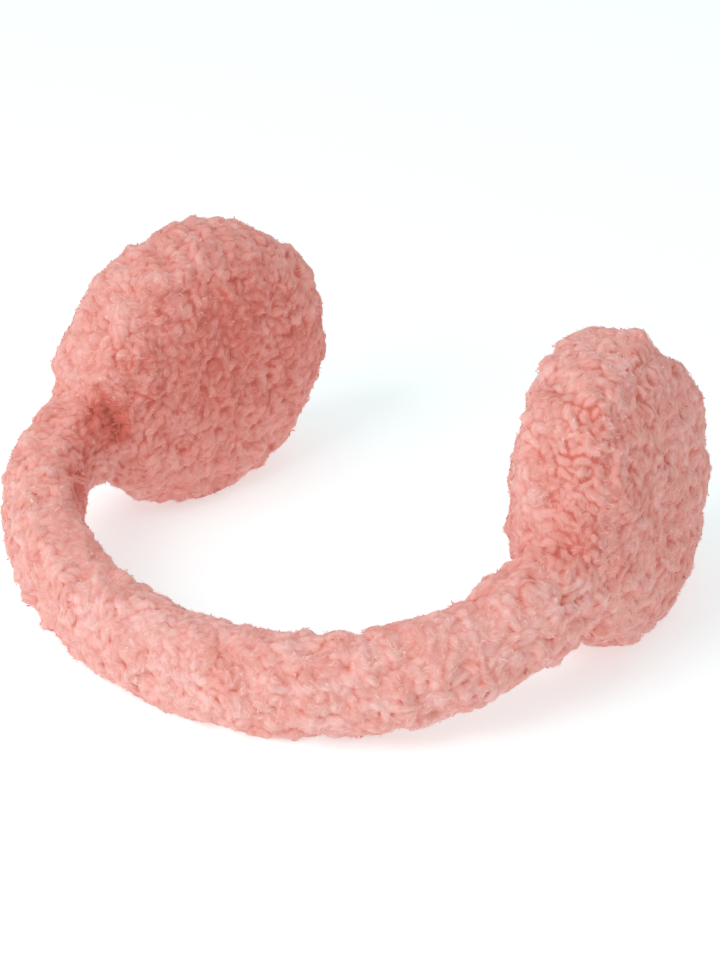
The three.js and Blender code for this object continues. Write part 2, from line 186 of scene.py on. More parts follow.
SEED = 11  # of the band, and of the way the curls head. The others are worked out from it.
LUMP_SEED, FELT_SEED, CLEFT_SEED, SEAM_SEED, TUFT_SEED = (SEED + k for k in (1, 3, 4, 5, 6))
RIM_SEED, FACE_SEED = SEED + 20, SEED + 40


class PadSizes(bpy.types.PropertyGroup):
    height: bpy.props.FloatProperty(
        name="Height", description="Of a pad over its fleece", default=0.111, unit="LENGTH")
    length: bpy.props.FloatProperty(
        name="Length", description="Of a pad's longer way", default=0.123, unit="LENGTH")
    thickness: bpy.props.FloatProperty(
        name="Thickness", description="From face to face", default=0.048, unit="LENGTH")
    spacing: bpy.props.FloatProperty(
        name="Spacing", description="Between the pads' centres", default=0.186, unit="LENGTH")
    squareness: bpy.props.FloatProperty(
        name="Squareness", description="2 gives a ball, more gives flatter faces", default=3.4)
    seam_setback: bpy.props.FloatProperty(
        name="Seam setback", description="From a face back to its seam", default=0.007,
        unit="LENGTH")
    seam_depth: bpy.props.FloatProperty(
        name="Seam depth", description="How far a seam pulls the fleece in", default=0.0018,
        unit="LENGTH")


class BandSizes(bpy.types.PropertyGroup):
    width: bpy.props.FloatProperty(
        name="Width", description="Of the band over its fleece", default=0.037, unit="LENGTH")
    thickness: bpy.props.FloatProperty(
        name="Thickness", description="From its inner to its outer side", default=0.029,
        unit="LENGTH")
    squareness: bpy.props.FloatProperty(
        name="Squareness", description="2 gives an oval section", default=2.2)
    reach: bpy.props.FloatProperty(
        name="Crown reach", description="From the pads to the crown", default=0.132,
        unit="LENGTH")
    offset: bpy.props.FloatProperty(
        name="Crown offset", description="Of the crown to the right", default=-0.002,
        unit="LENGTH")
    crown_lead: bpy.props.FloatProperty(
        name="Crown lead", description="Share of the reach that the band runs straight",
        default=0.485, subtype="FACTOR")
    root: bpy.props.FloatProperty(
        name="Root", description="How deep in a pad's rim the band starts", default=0.018,
        unit="LENGTH")


class FleeceSizes(bpy.types.PropertyGroup):
    mesh_step: bpy.props.FloatProperty(
        name="Mesh step", description="Between neighbouring points of the skin",
        default=0.00068, unit="LENGTH")
    pile_low: bpy.props.FloatProperty(
        name="Backing", description="How deep the backing lies under the outline",
        default=0.0014, unit="LENGTH")
    pile_high: bpy.props.FloatProperty(
        name="Pile", description="How far the highest curls stand over the outline",
        default=0.0008, unit="LENGTH")
    curl_spacing: bpy.props.FloatProperty(
        name="Curl spacing", description="Between neighbouring curls", default=0.0026,
        unit="LENGTH")
    curl_radius: bpy.props.FloatProperty(
        name="Curl radius", description="Of the thickest curls", default=0.0021,
        unit="LENGTH")
    curl_drop: bpy.props.FloatProperty(
        name="Curl drop", description="From a curl's top to its side", default=0.0007,
        unit="LENGTH")
    curl_length: bpy.props.FloatProperty(
        name="Curl length", description="Of the longest curls", default=0.0105, unit="LENGTH")
    lump_height: bpy.props.FloatProperty(
        name="Lump height", description="Of the uneven padding", default=0.001,
        unit="LENGTH")
    lump_size: bpy.props.FloatProperty(
        name="Lump size", description="Width of a lump", default=0.018, unit="LENGTH")
    tuft_height: bpy.props.FloatProperty(
        name="Tuft height", description="Of the uneven pile", default=0.0008, unit="LENGTH")
    tuft_size: bpy.props.FloatProperty(
        name="Tuft size", description="Width of a tuft", default=0.0085, unit="LENGTH")
    # painted shade in the hollows between the tufts, and painted light on them
    tuft_shade: bpy.props.FloatProperty(
        name="Tuft shade", description="How much of the deep colour shows between tufts",
        default=0.25)
    # of the painted shade in the clefts and the painted highlight on the ridges
    contrast: bpy.props.FloatProperty(
        name="Contrast", description="Of the colour between clefts and ridges", default=0.6)
    soften: bpy.props.IntProperty(
        name="Soften", description="How often the pile is smoothed", default=1)
    wisps: bpy.props.FloatProperty(
        name="Wisps", description="Wisps of wool on each square millimetre", default=1.8)
    most_wisps: bpy.props.IntProperty(
        name="Most wisps", description="On one piece", default=49000)
    wisp_length: bpy.props.FloatProperty(
        name="Wisp length", description="Of the longest wisps of wool", default=0.0042,
        unit="LENGTH")
    wisp_width: bpy.props.FloatProperty(
        name="Wisp width", description="Of the widest wisps of wool", default=0.0002,
        unit="LENGTH")
    strays: bpy.props.FloatProperty(
        name="Strays", description="Share of the wisps that stand out of the curls",
        default=0.12, subtype="FACTOR")
    sway: bpy.props.FloatProperty(
        name="Sway", description="How far the wisps usually turn from their curls",
        default=0.5, subtype="ANGLE")
    # painted highlight: the wisps are painted paler than their curls, as fine hairs with light
    # through them
    paler: bpy.props.FloatProperty(
        name="Paler", description="How much paler the wisps are than their curls", default=0.12)
    pressed: bpy.props.FloatProperty(
        name="Pressed", description="How much is pressed flat where it rests",
        default=0.0025, unit="LENGTH")
    gap: bpy.props.FloatProperty(
        name="Gap", description="Between pieces that touch", default=0.00006, unit="LENGTH")


class FleeceColours(bpy.types.PropertyGroup):
    shaded: bpy.props.FloatVectorProperty(
        name="Shaded", description="Backing that little light reaches", subtype="COLOR",
        default=(0.4, 0.095, 0.07))
    # the wool's colour with painted shade, deep between the curls
    backing: bpy.props.FloatVectorProperty(
        name="Backing", description="Deep between the curls", subtype="COLOR",
        default=(0.68, 0.175, 0.135))
    wool: bpy.props.FloatVectorProperty(
        name="Wool", description="Sides of the curls", subtype="COLOR",
        default=(0.82, 0.345, 0.295))
    # the wool's colour with a painted highlight, on the tops of the curls
    tips: bpy.props.FloatVectorProperty(
        name="Tips", description="Tops of the curls", subtype="COLOR",
        default=(0.885, 0.535, 0.495))
    sheen: bpy.props.FloatVectorProperty(
        name="Sheen", description="Fine hairs seen at a glancing angle", subtype="COLOR",
        default=(1.0, 0.85, 0.82))
    fibres: bpy.props.FloatProperty(
        name="Fibres", description="How much lighter and darker the fibres are", default=0.45)


class StudioSettings(bpy.types.PropertyGroup):
    floor: bpy.props.FloatVectorProperty(
        name="Floor", description="Colour of the floor", subtype="COLOR",
        default=(0.74, 0.8, 0.805))
    floor_glow: bpy.props.FloatVectorProperty(
        name="Floor glow", subtype="COLOR", default=(0.395, 0.44, 0.446),
        description="Light the floor gives off, less red because the fleece throws red on it")
    sky: bpy.props.FloatProperty(
        name="Sky", description="Strength of the light from all round", default=0.64)
    key: bpy.props.FloatProperty(
        name="Key", description="Power of the softbox", default=9.2, unit="POWER")
    key_size: bpy.props.FloatProperty(
        name="Key size", description="Width of the softbox", default=0.8, unit="LENGTH")
    lens: bpy.props.FloatProperty(
        name="Lens", description="Focal length in mm on a 36 mm frame", default=98.2)
    azimuth: bpy.props.FloatProperty(
        name="Azimuth", description="Camera's way round the earmuffs", subtype="ANGLE",
        default=math.radians(30.67))
    elevation: bpy.props.FloatProperty(
        name="Elevation", description="Camera's angle over the floor", subtype="ANGLE",
        default=math.radians(29.25))
    distance: bpy.props.FloatProperty(
        name="Distance", description="From the camera to its aim", default=1.0648,
        unit="LENGTH")


# Shapes


def signed_power(value, power):
    """The power of a value's size, with the value's own sign."""
    return np.sign(value) * np.abs(value) ** power


def unit(vectors):
    """Each vector divided by its own length."""
    length = np.linalg.norm(vectors, axis=-1, keepdims=True)
    return vectors / np.maximum(length, 1e-12)


def smoothstep(low, high, value):
    """0 below low, 1 above high, and 3t^2 - 2t^3 between them."""
    t = np.clip((value - low) / (high - low), 0, 1)
    return t * t * (3 - 2 * t)


def bump(distance, reach):
    """A smooth bump of height 1: e to the power of minus (distance / reach) squared."""
    return np.exp(-((distance / reach) ** 2))


def turn_between(start, end):
    """The short way from one angle to another, from -180 to 180 degrees."""
    return (end - start + 180) % 360 - 180


def table_value(table, column, at):
    """A column of a table at a place, eased from each row to the next."""
    rows, values = np.array(table["at"], float), np.array(table[column], float)
    result = np.full_like(at, values[0])
    for k in range(len(rows) - 1):
        result += (values[k + 1] - values[k]) * smoothstep(rows[k], rows[k + 1], at)
    return result


def ripples(points, size, seed):
    """Smooth unevenness from about -1 to 1: the sum of cosine waves that run in random ways,
    0.7 to 1.4 of them to one size, times the root of (0.7 / their count)."""
    rng = np.random.default_rng(seed)
    count = 20
    ways = unit(rng.normal(size=(count, 3))) * 2 * np.pi / size
    ways *= rng.uniform(0.7, 1.4, (count, 1))
    waves = np.cos(points @ ways.T + rng.uniform(0, 2 * np.pi, count))
    return waves.sum(axis=-1) * math.sqrt(0.7 / count)


def evenly(points, count):
    """A polyline cut anew into points that lie evenly along it."""
    steps = np.linalg.norm(np.diff(points, axis=0), axis=1)
    along = np.concatenate([[0], np.cumsum(steps)])
    wanted = np.linspace(0, along[-1], count)
    return np.stack([np.interp(wanted, along, column) for column in points.T], axis=1)


def pad_section(turn, sizes):
    """A pad's half section as shares of its half length (the signed power of the turn's cosine)
    and of its half thickness (that of its sine)."""
    power = 2 / sizes.squareness
    return np.stack([signed_power(np.cos(turn), power), signed_power(np.sin(turn), power)], -1)


def seam_height(sizes):
    """Height of a seam over the pad's middle plane: half the thickness less the setback."""
    return sizes.thickness / 2 - sizes.seam_setback


def seam_turn(sizes):
    """The section's turn where it meets the seam, whose sine is the seam's share of the half
    thickness to the power of half the squareness."""
    share = seam_height(sizes) / (sizes.thickness / 2)
    return math.asin(share ** (sizes.squareness / 2))


def pad_stretch(sizes, start, end, step):
    """The section from one turn to another in even steps, as shares of the way out from the
    pad's axis and heights over its middle plane, and the length of the stretch in a pad as
    high as it is long."""
    radius = (sizes.height + sizes.length) / 4
    turns = np.linspace(start, end, 2001)  # fine enough to measure lengths by
    fine = pad_section(turns, sizes) * (radius, sizes.thickness / 2)
    length = np.linalg.norm(np.diff(fine, axis=0), axis=1).sum()
    return evenly(fine, round(length / step) + 1) / (radius, 1), length


def off_pad(local, sizes):
    """How far points lie off a pad's skin, and the skin's normals there. The pad is where the
    powers of (distance from its axis as a share of its radius) and of (height as a share of
    half its thickness) add up to less than 1. The distance is (their root - 1) over the
    root's slope."""
    n, a, b, h = sizes.squareness, sizes.length / 2, sizes.height / 2, sizes.thickness / 2
    x, y, z = np.moveaxis(local, -1, 0)
    out = np.maximum(np.hypot(x / a, y / b), 1e-6)
    up = np.abs(z) / h
    root = np.maximum((out**n + up**n) ** (1 / n), 1e-6)
    slope = np.stack([
        out ** (n - 2) * x / a**2,
        out ** (n - 2) * y / b**2,
        signed_power(z / h, n - 1) / h,
    ], -1) * root[..., None] ** (1 - n)
    size = np.linalg.norm(slope, axis=-1)
    return (root - 1) / size, slope / size[..., None]


def pad_place(name, pads, band, fleece):
    """A pad's centre, the matrix whose columns are its longer way, its height and its
    thickness, and the way in which the band leaves it. The thickness is turned by toe_in and
    lean, and the other two are turned about it by rise. The centre is as high as the pad
    reaches down from it, less what is pressed flat."""
    pad = PADS[name]
    turn, tilt, rise, droop = np.radians([pad[k] for k in ("toe_in", "lean", "rise", "droop")])
    side = pad["side"]
    ahead = np.array([side * np.sin(turn), -np.cos(turn), 0])
    through = np.array([
        -np.cos(turn) * np.cos(tilt), -side * np.sin(turn) * np.cos(tilt), side * np.sin(tilt)])
    up = np.cross(through, ahead)
    long = ahead * np.cos(rise) + up * np.sin(rise)
    high = up * np.cos(rise) - ahead * np.sin(rise)
    section = pad_section(np.linspace(0, np.pi / 2, 91), pads)  # one point to a degree
    rim = np.hypot(pads.length / 2 * long[2], pads.height / 2 * high[2])
    down = (section @ (rim, pads.thickness / 2 * abs(through[2]))).max()
    centre = np.array([
        side * pads.spacing / 2 + HOOP_MIDDLE[0],
        pad["setback"] * band.reach + HOOP_MIDDLE[1],
        down - fleece.pressed,
    ])
    away = ahead * np.cos(droop) - up * np.sin(droop)
    return centre, np.stack([long, high, through], 1), away


class BandLine:
    """The line that the middle of the band follows, and its directions. On each side it is the
    cubic curve from inside the pad's rim to the crown, pulled by one point straight on from
    each of its ends."""

    POINTS = 1201
    STRIDE = 4  # between the points of the line that inside tries
    PAST_END = 0.006  # how far past the line's end is still in the band

    def __init__(self, pads, band, fleece):
        self.band = band
        height = band.width / 2 - fleece.pressed
        crown = np.array([HOOP_MIDDLE[0] + band.offset, HOOP_MIDDLE[1] - band.reach, height])
        t = np.linspace(0, 1, self.POINTS)[:, None]
        halves = []
        for name, pad in PADS.items():
            centre, _, away = pad_place(name, pads, band, fleece)
            root = centre + away * (pads.length / 2 - band.root)
            lead = root + away * pad["lead"] * band.reach
            towards = crown + (pad["side"] * band.crown_lead * band.reach, 0, 0)
            halves.append(
                root * (1 - t) ** 3 + 3 * lead * t * (1 - t) ** 2
                + 3 * towards * t * t * (1 - t) + crown * t**3)
        self.middle = evenly(np.concatenate([halves[0], halves[1][-2::-1]]), self.POINTS)
        self.at = np.linspace(0, 1, self.POINTS)
        self.length = np.linalg.norm(np.diff(self.middle, axis=0), axis=1).sum()
        self.along = unit(np.gradient(self.middle, axis=0))
        x, y = self.along[:, 0], self.along[:, 1]
        self.outward = unit(np.stack([y, -x, np.zeros_like(x)], 1))
        self.up = np.cross(self.along, self.outward)

    def look_up(self, rows, at):
        """Rows of one of the line's tables at places along it, from 0 to 1."""
        return np.stack([np.interp(at, self.at, column) for column in rows.T], -1)

    def halves_of(self, at):
        """Half the band's thickness and half its width at places along it, which follow the
        table of its sections from either pad to the crown."""
        from_pad = 1 - np.abs(2 * at - 1)
        return (
            self.band.thickness / 2 * table_value(BAND_SECTIONS, "thickness", from_pad),
            self.band.width / 2 * table_value(BAND_SECTIONS, "width", from_pad),
        )

    def skin(self, at, turn, share=1.0):
        """Points of the band and its outward normals: a squarish oval whose radii are the
        signed powers of the turn's cosine and sine, carried along the line. share is 1 on the
        skin and 0 on the line."""
        power = 2 / self.band.squareness
        x, y = signed_power(np.cos(turn), power), signed_power(np.sin(turn), power)
        a, b = self.halves_of(at)
        outward, up = self.look_up(self.outward, at), self.look_up(self.up, at)
        points = (
            self.look_up(self.middle, at)
            + outward * (share * a * x)[..., None] + up * (share * b * y)[..., None])
        n = self.band.squareness - 1
        normals = unit(
            outward * (signed_power(x, n) / a)[..., None]
            + up * (signed_power(y, n) / b)[..., None])
        return points, normals

    def inside(self, points, stretch):
        """How far out points lie from the line as a share of the band's own section, near one
        stretch of the line: the root of the sum of the powers of both offsets' shares, or
        more past the line's end."""
        first, last = np.searchsorted(self.at, stretch)
        gaps = points[..., None, :] - self.middle[first:last:self.STRIDE]
        nearest = (gaps**2).sum(-1).argmin(-1) * self.STRIDE + first
        off = points - self.middle[nearest]
        x = (off * self.outward[nearest]).sum(-1)
        y = (off * self.up[nearest]).sum(-1)
        past_end = np.abs((off * self.along[nearest]).sum(-1)) / self.PAST_END
        a, b = self.halves_of(self.at[nearest])
        n = self.band.squareness
        return np.maximum((np.abs(x / a) ** n + np.abs(y / b) ** n) ** (1 / n), past_end)


def band_fold(at, turn, line):
    """How deep the band's folds press in: the sum of bumps that fade along the band and round
    it, each slanting along the band with the turn."""
    total = np.zeros_like(at)
    width = line.band.width
    for place, way, depth, reach, sweep, slant in BAND_FOLDS:
        off = turn_between(way, np.degrees(turn))
        along = (at - place) * line.length - slant * width * off / sweep
        total += depth * width * bump(along, reach * width) * bump(off, sweep)
    return total


# Fleece


def growing_ways(normals, to_seam):
    """The ways in which fleece grows: along the normals, but beside a pad's seam in the seam's
    own plane, so that the pieces on both sides of the seam meet."""
    ways = normals.copy()
    ways[..., 2] *= 1 - bump(to_seam, SEAM_WIDTH)
    return ways


class Skin:
    """A grid of points with their outward normals, ready to grow fleece. Columns run round the
    piece and close on themselves where wraps is true. pile is how much of its pile each point
    grows, from 0 to 1, to_seam is how far each point is from a pad's seam, and clefts is how
    much deeper the clefts between its curls are, which dress looks up."""

    def __init__(self, points, normals, wraps, pile, to_seam):
        self.points, self.normals, self.wraps = points, normals, wraps
        self.shape = points.shape[:2]
        self.pile, self.to_seam = pile, to_seam
        self.clefts = np.zeros(self.shape)
        self.ways = growing_ways(normals, to_seam)
        self.down_rows = np.gradient(points, axis=0)
        if wraps:
            self.across = (np.roll(points, -1, 1) - np.roll(points, 1, 1)) / 2
        else:
            self.across = np.gradient(points, axis=1)
        self.area = np.linalg.norm(np.cross(self.down_rows, self.across), axis=-1)

    def at(self, field, row, column):
        """A field of the grid at places between its points, each the mean of the four points
        round it, weighted by nearness."""
        rows, columns = self.shape
        last_row, last_column = rows - 1.001, columns - 1.001  # just before the last points
        row = np.clip(row, 0, last_row)
        column = column % columns if self.wraps else np.clip(column, 0, last_column)
        r, c = row.astype(int), column.astype(int)
        u, v = row - r, column - c
        c1 = (c + 1) % columns
        if field.ndim == 3:
            u, v = u[..., None], v[..., None]
        return (
            field[r, c] * (1 - u) * (1 - v) + field[r + 1, c] * u * (1 - v)
            + field[r, c1] * (1 - u) * v + field[r + 1, c1] * u * v)


def partings_and_painted_light(points):
    """How far the fleece is pressed in at points of the earmuffs, how much deeper its clefts
    are there, and how much painted shade its colour carries, with painted light below 0: sums
    of round bumps, one for each row of the table, with a little unevenness in the clefts."""
    # depth is the painted shade, and painted light where it is below 0
    press, clefts, depth = np.zeros((3, *points.shape[:-1]))
    for *place, reach, pressed, deeper, more in PARTINGS_AND_PAINTED_LIGHT:
        near = bump(np.linalg.norm(points - place, axis=-1), reach)
        press, clefts, depth = press + pressed * near, clefts + deeper * near, depth + more * near
    clefts = clefts + CLEFT_CHANGE * ripples(points, PATCH_SIZE, CLEFT_SEED)
    return press, np.clip(clefts, *CLEFT_RANGE), depth


def unevenness(points, fleece):
    """How far the fleece stands out at points of the earmuffs: the padding's lumps and the
    pile's tufts, less what is pressed in."""
    return (
        fleece.lump_height * ripples(points, fleece.lump_size, LUMP_SEED)
        + fleece.tuft_height * ripples(points, fleece.tuft_size, TUFT_SEED)
        - partings_and_painted_light(points)[0])


def filled(lump, share):
    """Lumps plus a share of what their hollows lack to the hollows' floor, so that no crack
    opens where the band meets a pad."""
    return lump + share * np.maximum(HOLLOW_FLOOR - lump, 0)


class Curls:
    """Curls of wool over a skin. Each starts near its place in a lattice, heads off in a way
    that its neighbours partly share, and turns steadily to one side as it goes. It rises from
    the backing to its own top and back as half a sine wave. Arrays have a row for each step
    along the curls and a column for each curl."""

    STEPS = 12
    ROW_GAP = 0.87  # between the lattice's rows, as a share of the gap between their curls
    SCATTER = 0.4  # how far a curl may start from its place, as a share of the same gap
    SHARED_TURN, OWN_TURN = 2.2, 0.9  # of the headings, in radians
    BEND = 2.6  # of the curliest from end to end, in radians
    LEAST_BEND, LEAST_LENGTH, LEAST_RADIUS, LEAST_TOP = 0.25, 0.5, 0.7, 0.6  # shares of the most
    END_RADIUS, END_TOP = 0.6, 0.4  # shares at a curl's ends of those at its middle
    BARE_TOP = 0.25  # share of its top that a curl keeps where no pile grows
    DROP, CLEFT_DROP = 0.75, 0.5  # share of the usual drop, and how much clefts add to it
    LEAST_WIDTH = 2e-4  # of a column, in metres
    STRIDE = 2  # most rows and columns that a step may cross
    CUT = 0.04  # share of the half wave that is cut off at each end

    def __init__(self, skin, fleece, rng):
        rows, columns = skin.shape
        spacing = fleece.curl_spacing / fleece.mesh_step
        row, column = np.meshgrid(
            np.arange(0, rows - 1, spacing * self.ROW_GAP), np.arange(0, columns, spacing),
            indexing="ij")
        column = column + spacing / 2 * (np.arange(len(row)) % 2)[:, None]
        row, column = row.ravel(), column.ravel()
        row = row + rng.uniform(-self.SCATTER, self.SCATTER, row.size) * spacing
        column = column + rng.uniform(-self.SCATTER, self.SCATTER, row.size) * spacing
        crowding = skin.at(skin.area, row, column) / fleece.mesh_step**2
        kept = rng.uniform(size=row.size) < crowding
        row, column = row[kept], column[kept]
        count = row.size
        start = skin.at(skin.points, row, column)
        heading = (
            self.SHARED_TURN * ripples(start, PATCH_SIZE, SEED)
            + rng.normal(0, self.OWN_TURN, count))
        length = fleece.curl_length * rng.uniform(self.LEAST_LENGTH, 1, count)
        bend = rng.choice([-1, 1], count) * rng.uniform(self.LEAST_BEND, 1, count) * self.BEND
        step = length / (self.STEPS - 1)
        places = []
        for _ in range(self.STEPS):
            places.append((row, column))
            to_row, to_column = self.stride(skin, row, column, heading, step)
            row, column = row + to_row, column + to_column
            heading = heading + bend / self.STEPS
        self.row, self.column = (np.array(k) for k in zip(*places))
        self.points = skin.at(skin.points, self.row, self.column)
        self.normals = unit(skin.at(skin.normals, self.row, self.column))
        self.along = unit(np.gradient(self.points, axis=0))
        self.across = np.cross(self.normals, self.along)
        share = np.linspace(0, 1, self.STEPS)[:, None]
        arch = np.sin(np.pi * np.clip(share, self.CUT, 1 - self.CUT))
        self.radius = fleece.curl_radius * rng.uniform(self.LEAST_RADIUS, 1, count) * (
            self.END_RADIUS + (1 - self.END_RADIUS) * arch)
        top = rng.uniform(self.LEAST_TOP, 1, count) * (fleece.pile_low + fleece.pile_high)
        self.top = top * (self.END_TOP + (1 - self.END_TOP) * arch) * (
            self.BARE_TOP + (1 - self.BARE_TOP) * skin.at(skin.pile, self.row, self.column))
        self.drop = fleece.curl_drop * (
            self.DROP + self.CLEFT_DROP * skin.at(skin.clefts, self.row, self.column))
        self.tone = rng.uniform(0, 1, count)
        self.way = share * length
        self.ended = (self.row < -self.STRIDE) | (self.row > rows + 1)

    def stride(self, skin, row, column, heading, step):
        """Rows and columns that a step with a heading crosses on the skin. The heading is
        measured from the way down the rows, and what the columns slide along the rows is
        taken off."""
        down, across = skin.at(skin.down_rows, row, column), skin.at(skin.across, row, column)
        ahead = unit(down)
        aside = np.cross(skin.at(skin.normals, row, column), ahead)
        width = (across * aside).sum(-1)
        width = np.where(np.abs(width) < self.LEAST_WIDTH, self.LEAST_WIDTH, width)
        to_column = np.clip(step * np.sin(heading) / width, -self.STRIDE, self.STRIDE)
        slide = (across * ahead).sum(-1)
        to_row = (step * np.cos(heading) - to_column * slide) / np.linalg.norm(down, axis=-1)
        return np.clip(to_row, -self.STRIDE, self.STRIDE), to_column


def softened(field, wraps, times):
    """A field of a grid, each point's value taken again and again as the mean of itself and of
    its neighbours' mean, along and then across the grid."""
    for _ in range(times):
        for axis in (0, 1):
            if axis and wraps:
                before, after = np.roll(field, 1, 1), np.roll(field, -1, 1)
            else:
                padded = np.pad(field, [(1, 1) if k == axis else (0, 0) for k in (0, 1)], "edge")
                before, after = (
                    (padded[:-2], padded[2:]) if axis == 0 else (padded[:, :-2], padded[:, 2:]))
            field = field / 2 + (before + after) / 4
    return field


def grow(skin, curls, fleece):
    """Height of the pile over its backing at each point of the skin, the tone of the curl that
    is on top there, and the point's place across and along that curl. A curl is a row of round
    beads, and the highest bead over a point gives its height: the bead's top - the drop times
    (distance / radius) squared. Between the curls the backing is a little uneven."""
    rows, columns = skin.shape
    bead_reach, farthest = 1.25, 1.6  # in radii along the grid, and in radii squared
    reach = math.ceil(fleece.curl_radius / fleece.mesh_step * bead_reach)
    offsets = np.arange(-reach, reach + 1)
    row = np.rint(curls.row).astype(int).ravel()[:, None, None] + offsets[:, None]
    column = np.rint(curls.column).astype(int).ravel()[:, None, None] + offsets
    row, column = np.broadcast_arrays(row, column)
    valid = (row >= 0) & (row < rows) & ~curls.ended.ravel()[:, None, None]
    if skin.wraps:
        column = column % columns
    else:
        valid = valid & (column >= 0) & (column < columns)
    bead, i, j = np.nonzero(valid)
    spot = row[bead, i, j] * columns + column[bead, i, j]
    gap = skin.points.reshape(-1, 3)[spot] - curls.points.reshape(-1, 3)[bead]
    away = (gap**2).sum(-1) / curls.radius.ravel()[bead] ** 2
    height = curls.top.ravel()[bead] - curls.drop.ravel()[bead] * away
    kept = (away < farthest) & (height > 0)
    order = np.flatnonzero(kept)[np.argsort(height[kept], kind="stable")]
    spot, bead, gap = spot[order], bead[order], gap[order]
    pile, tone = np.zeros(rows * columns), np.full(rows * columns, MIDDLE_TONE)
    strand = np.zeros((rows * columns, 3))
    pile[spot] = height[order]  # the last and highest bead over a point stays
    tone[spot] = curls.tone[bead % curls.tone.size]
    strand[spot, 0] = (gap * curls.across.reshape(-1, 3)[bead]).sum(-1)
    strand[spot, 1] = (gap * curls.along.reshape(-1, 3)[bead]).sum(-1) + curls.way.ravel()[bead]
    strand[spot, 2] = tone[spot] * STRAND_SPREAD
    felt = FELT_HEIGHT * (1 + ripples(skin.points, FELT_SIZE, FELT_SEED).ravel())
    pile = np.maximum(pile, felt).reshape(skin.shape)
    return pile, tone.reshape(skin.shape), strand.reshape(*skin.shape, 3)


def painted_light_level(pile, clefts, depth, wraps, fleece):
    """The level of painted light and shade at each point of the pile, which the finish turns into
    colour: up to 1, a painted highlight, on a ridge, and below 0, painted shade, deep in a cleft.
    It is that of even pile, plus a share of the point's height over the mean of those round it,
    less a share of the painted shade from the partings table and the tufts. The height counts
    for more where the clefts are deep, and for more in a hollow than on a ridge."""
    even, low, high = 0.6, -0.3, 1  # of even pile, the deepest hollow and the highest ridge
    full_relief = 0.0008  # height over the mean that counts as 1
    hollow, ridge = 1.2, 0.65  # how much it counts below the mean and above it
    # how much deep clefts add to the painted shade and highlight, and how much of the painted
    # shade counts
    cleft_share, painted_shade_share = 0.5, 0.3
    mean = softened(pile, wraps, times=4)
    relief = (fleece.contrast + cleft_share * clefts) * (pile - mean) / full_relief
    relief = np.minimum(relief * hollow, relief * ridge)
    return np.clip(even + relief, low, high) - painted_shade_share * depth


def wisp_roots(skin, curls, pile, painted_level, count, rng):
    """Picks places for wisps on the curls, and returns for each the step along its curl, the
    curl, how far it lies to the curl's side as a share of the radius and in metres, its height
    over the backing, and the level of painted light and shade there. A place counts where its
    own curl is on top, and fewer count where the clefts are deep."""
    tries = int(count * WISP_TRIES)
    step = rng.integers(1, curls.STEPS - 1, tries)
    curl = rng.integers(0, curls.tone.size, tries)
    side = rng.uniform(-WISP_SIDE, WISP_SIDE, tries)
    row, column = curls.row[step, curl], curls.column[step, curl]
    across, radius = curls.across[step, curl], curls.radius[step, curl]
    shift = side * radius
    height = curls.top[step, curl] - curls.drop[step, curl] * side**2
    down_way, across_way = skin.at(skin.down_rows, row, column), skin.at(skin.across, row, column)
    down_size, across_size = (
        np.maximum((way**2).sum(-1), 1e-8) for way in (down_way, across_way))
    row = row + (across * down_way).sum(-1) * shift / down_size
    column = column + (across * across_way).sum(-1) * shift / across_size
    shown = height > skin.at(pile, row, column) - WISP_SUNK
    shown &= (skin.at(skin.pile, row, column) > GROWN) & ~curls.ended[step, curl]
    shown &= rng.uniform(size=tries) > WISP_THINNED * skin.at(skin.clefts, row, column)
    level = skin.at(painted_level, row, column)
    shown = np.flatnonzero(shown)[:count]
    return (k[shown] for k in (step, curl, side, shift, height, level))


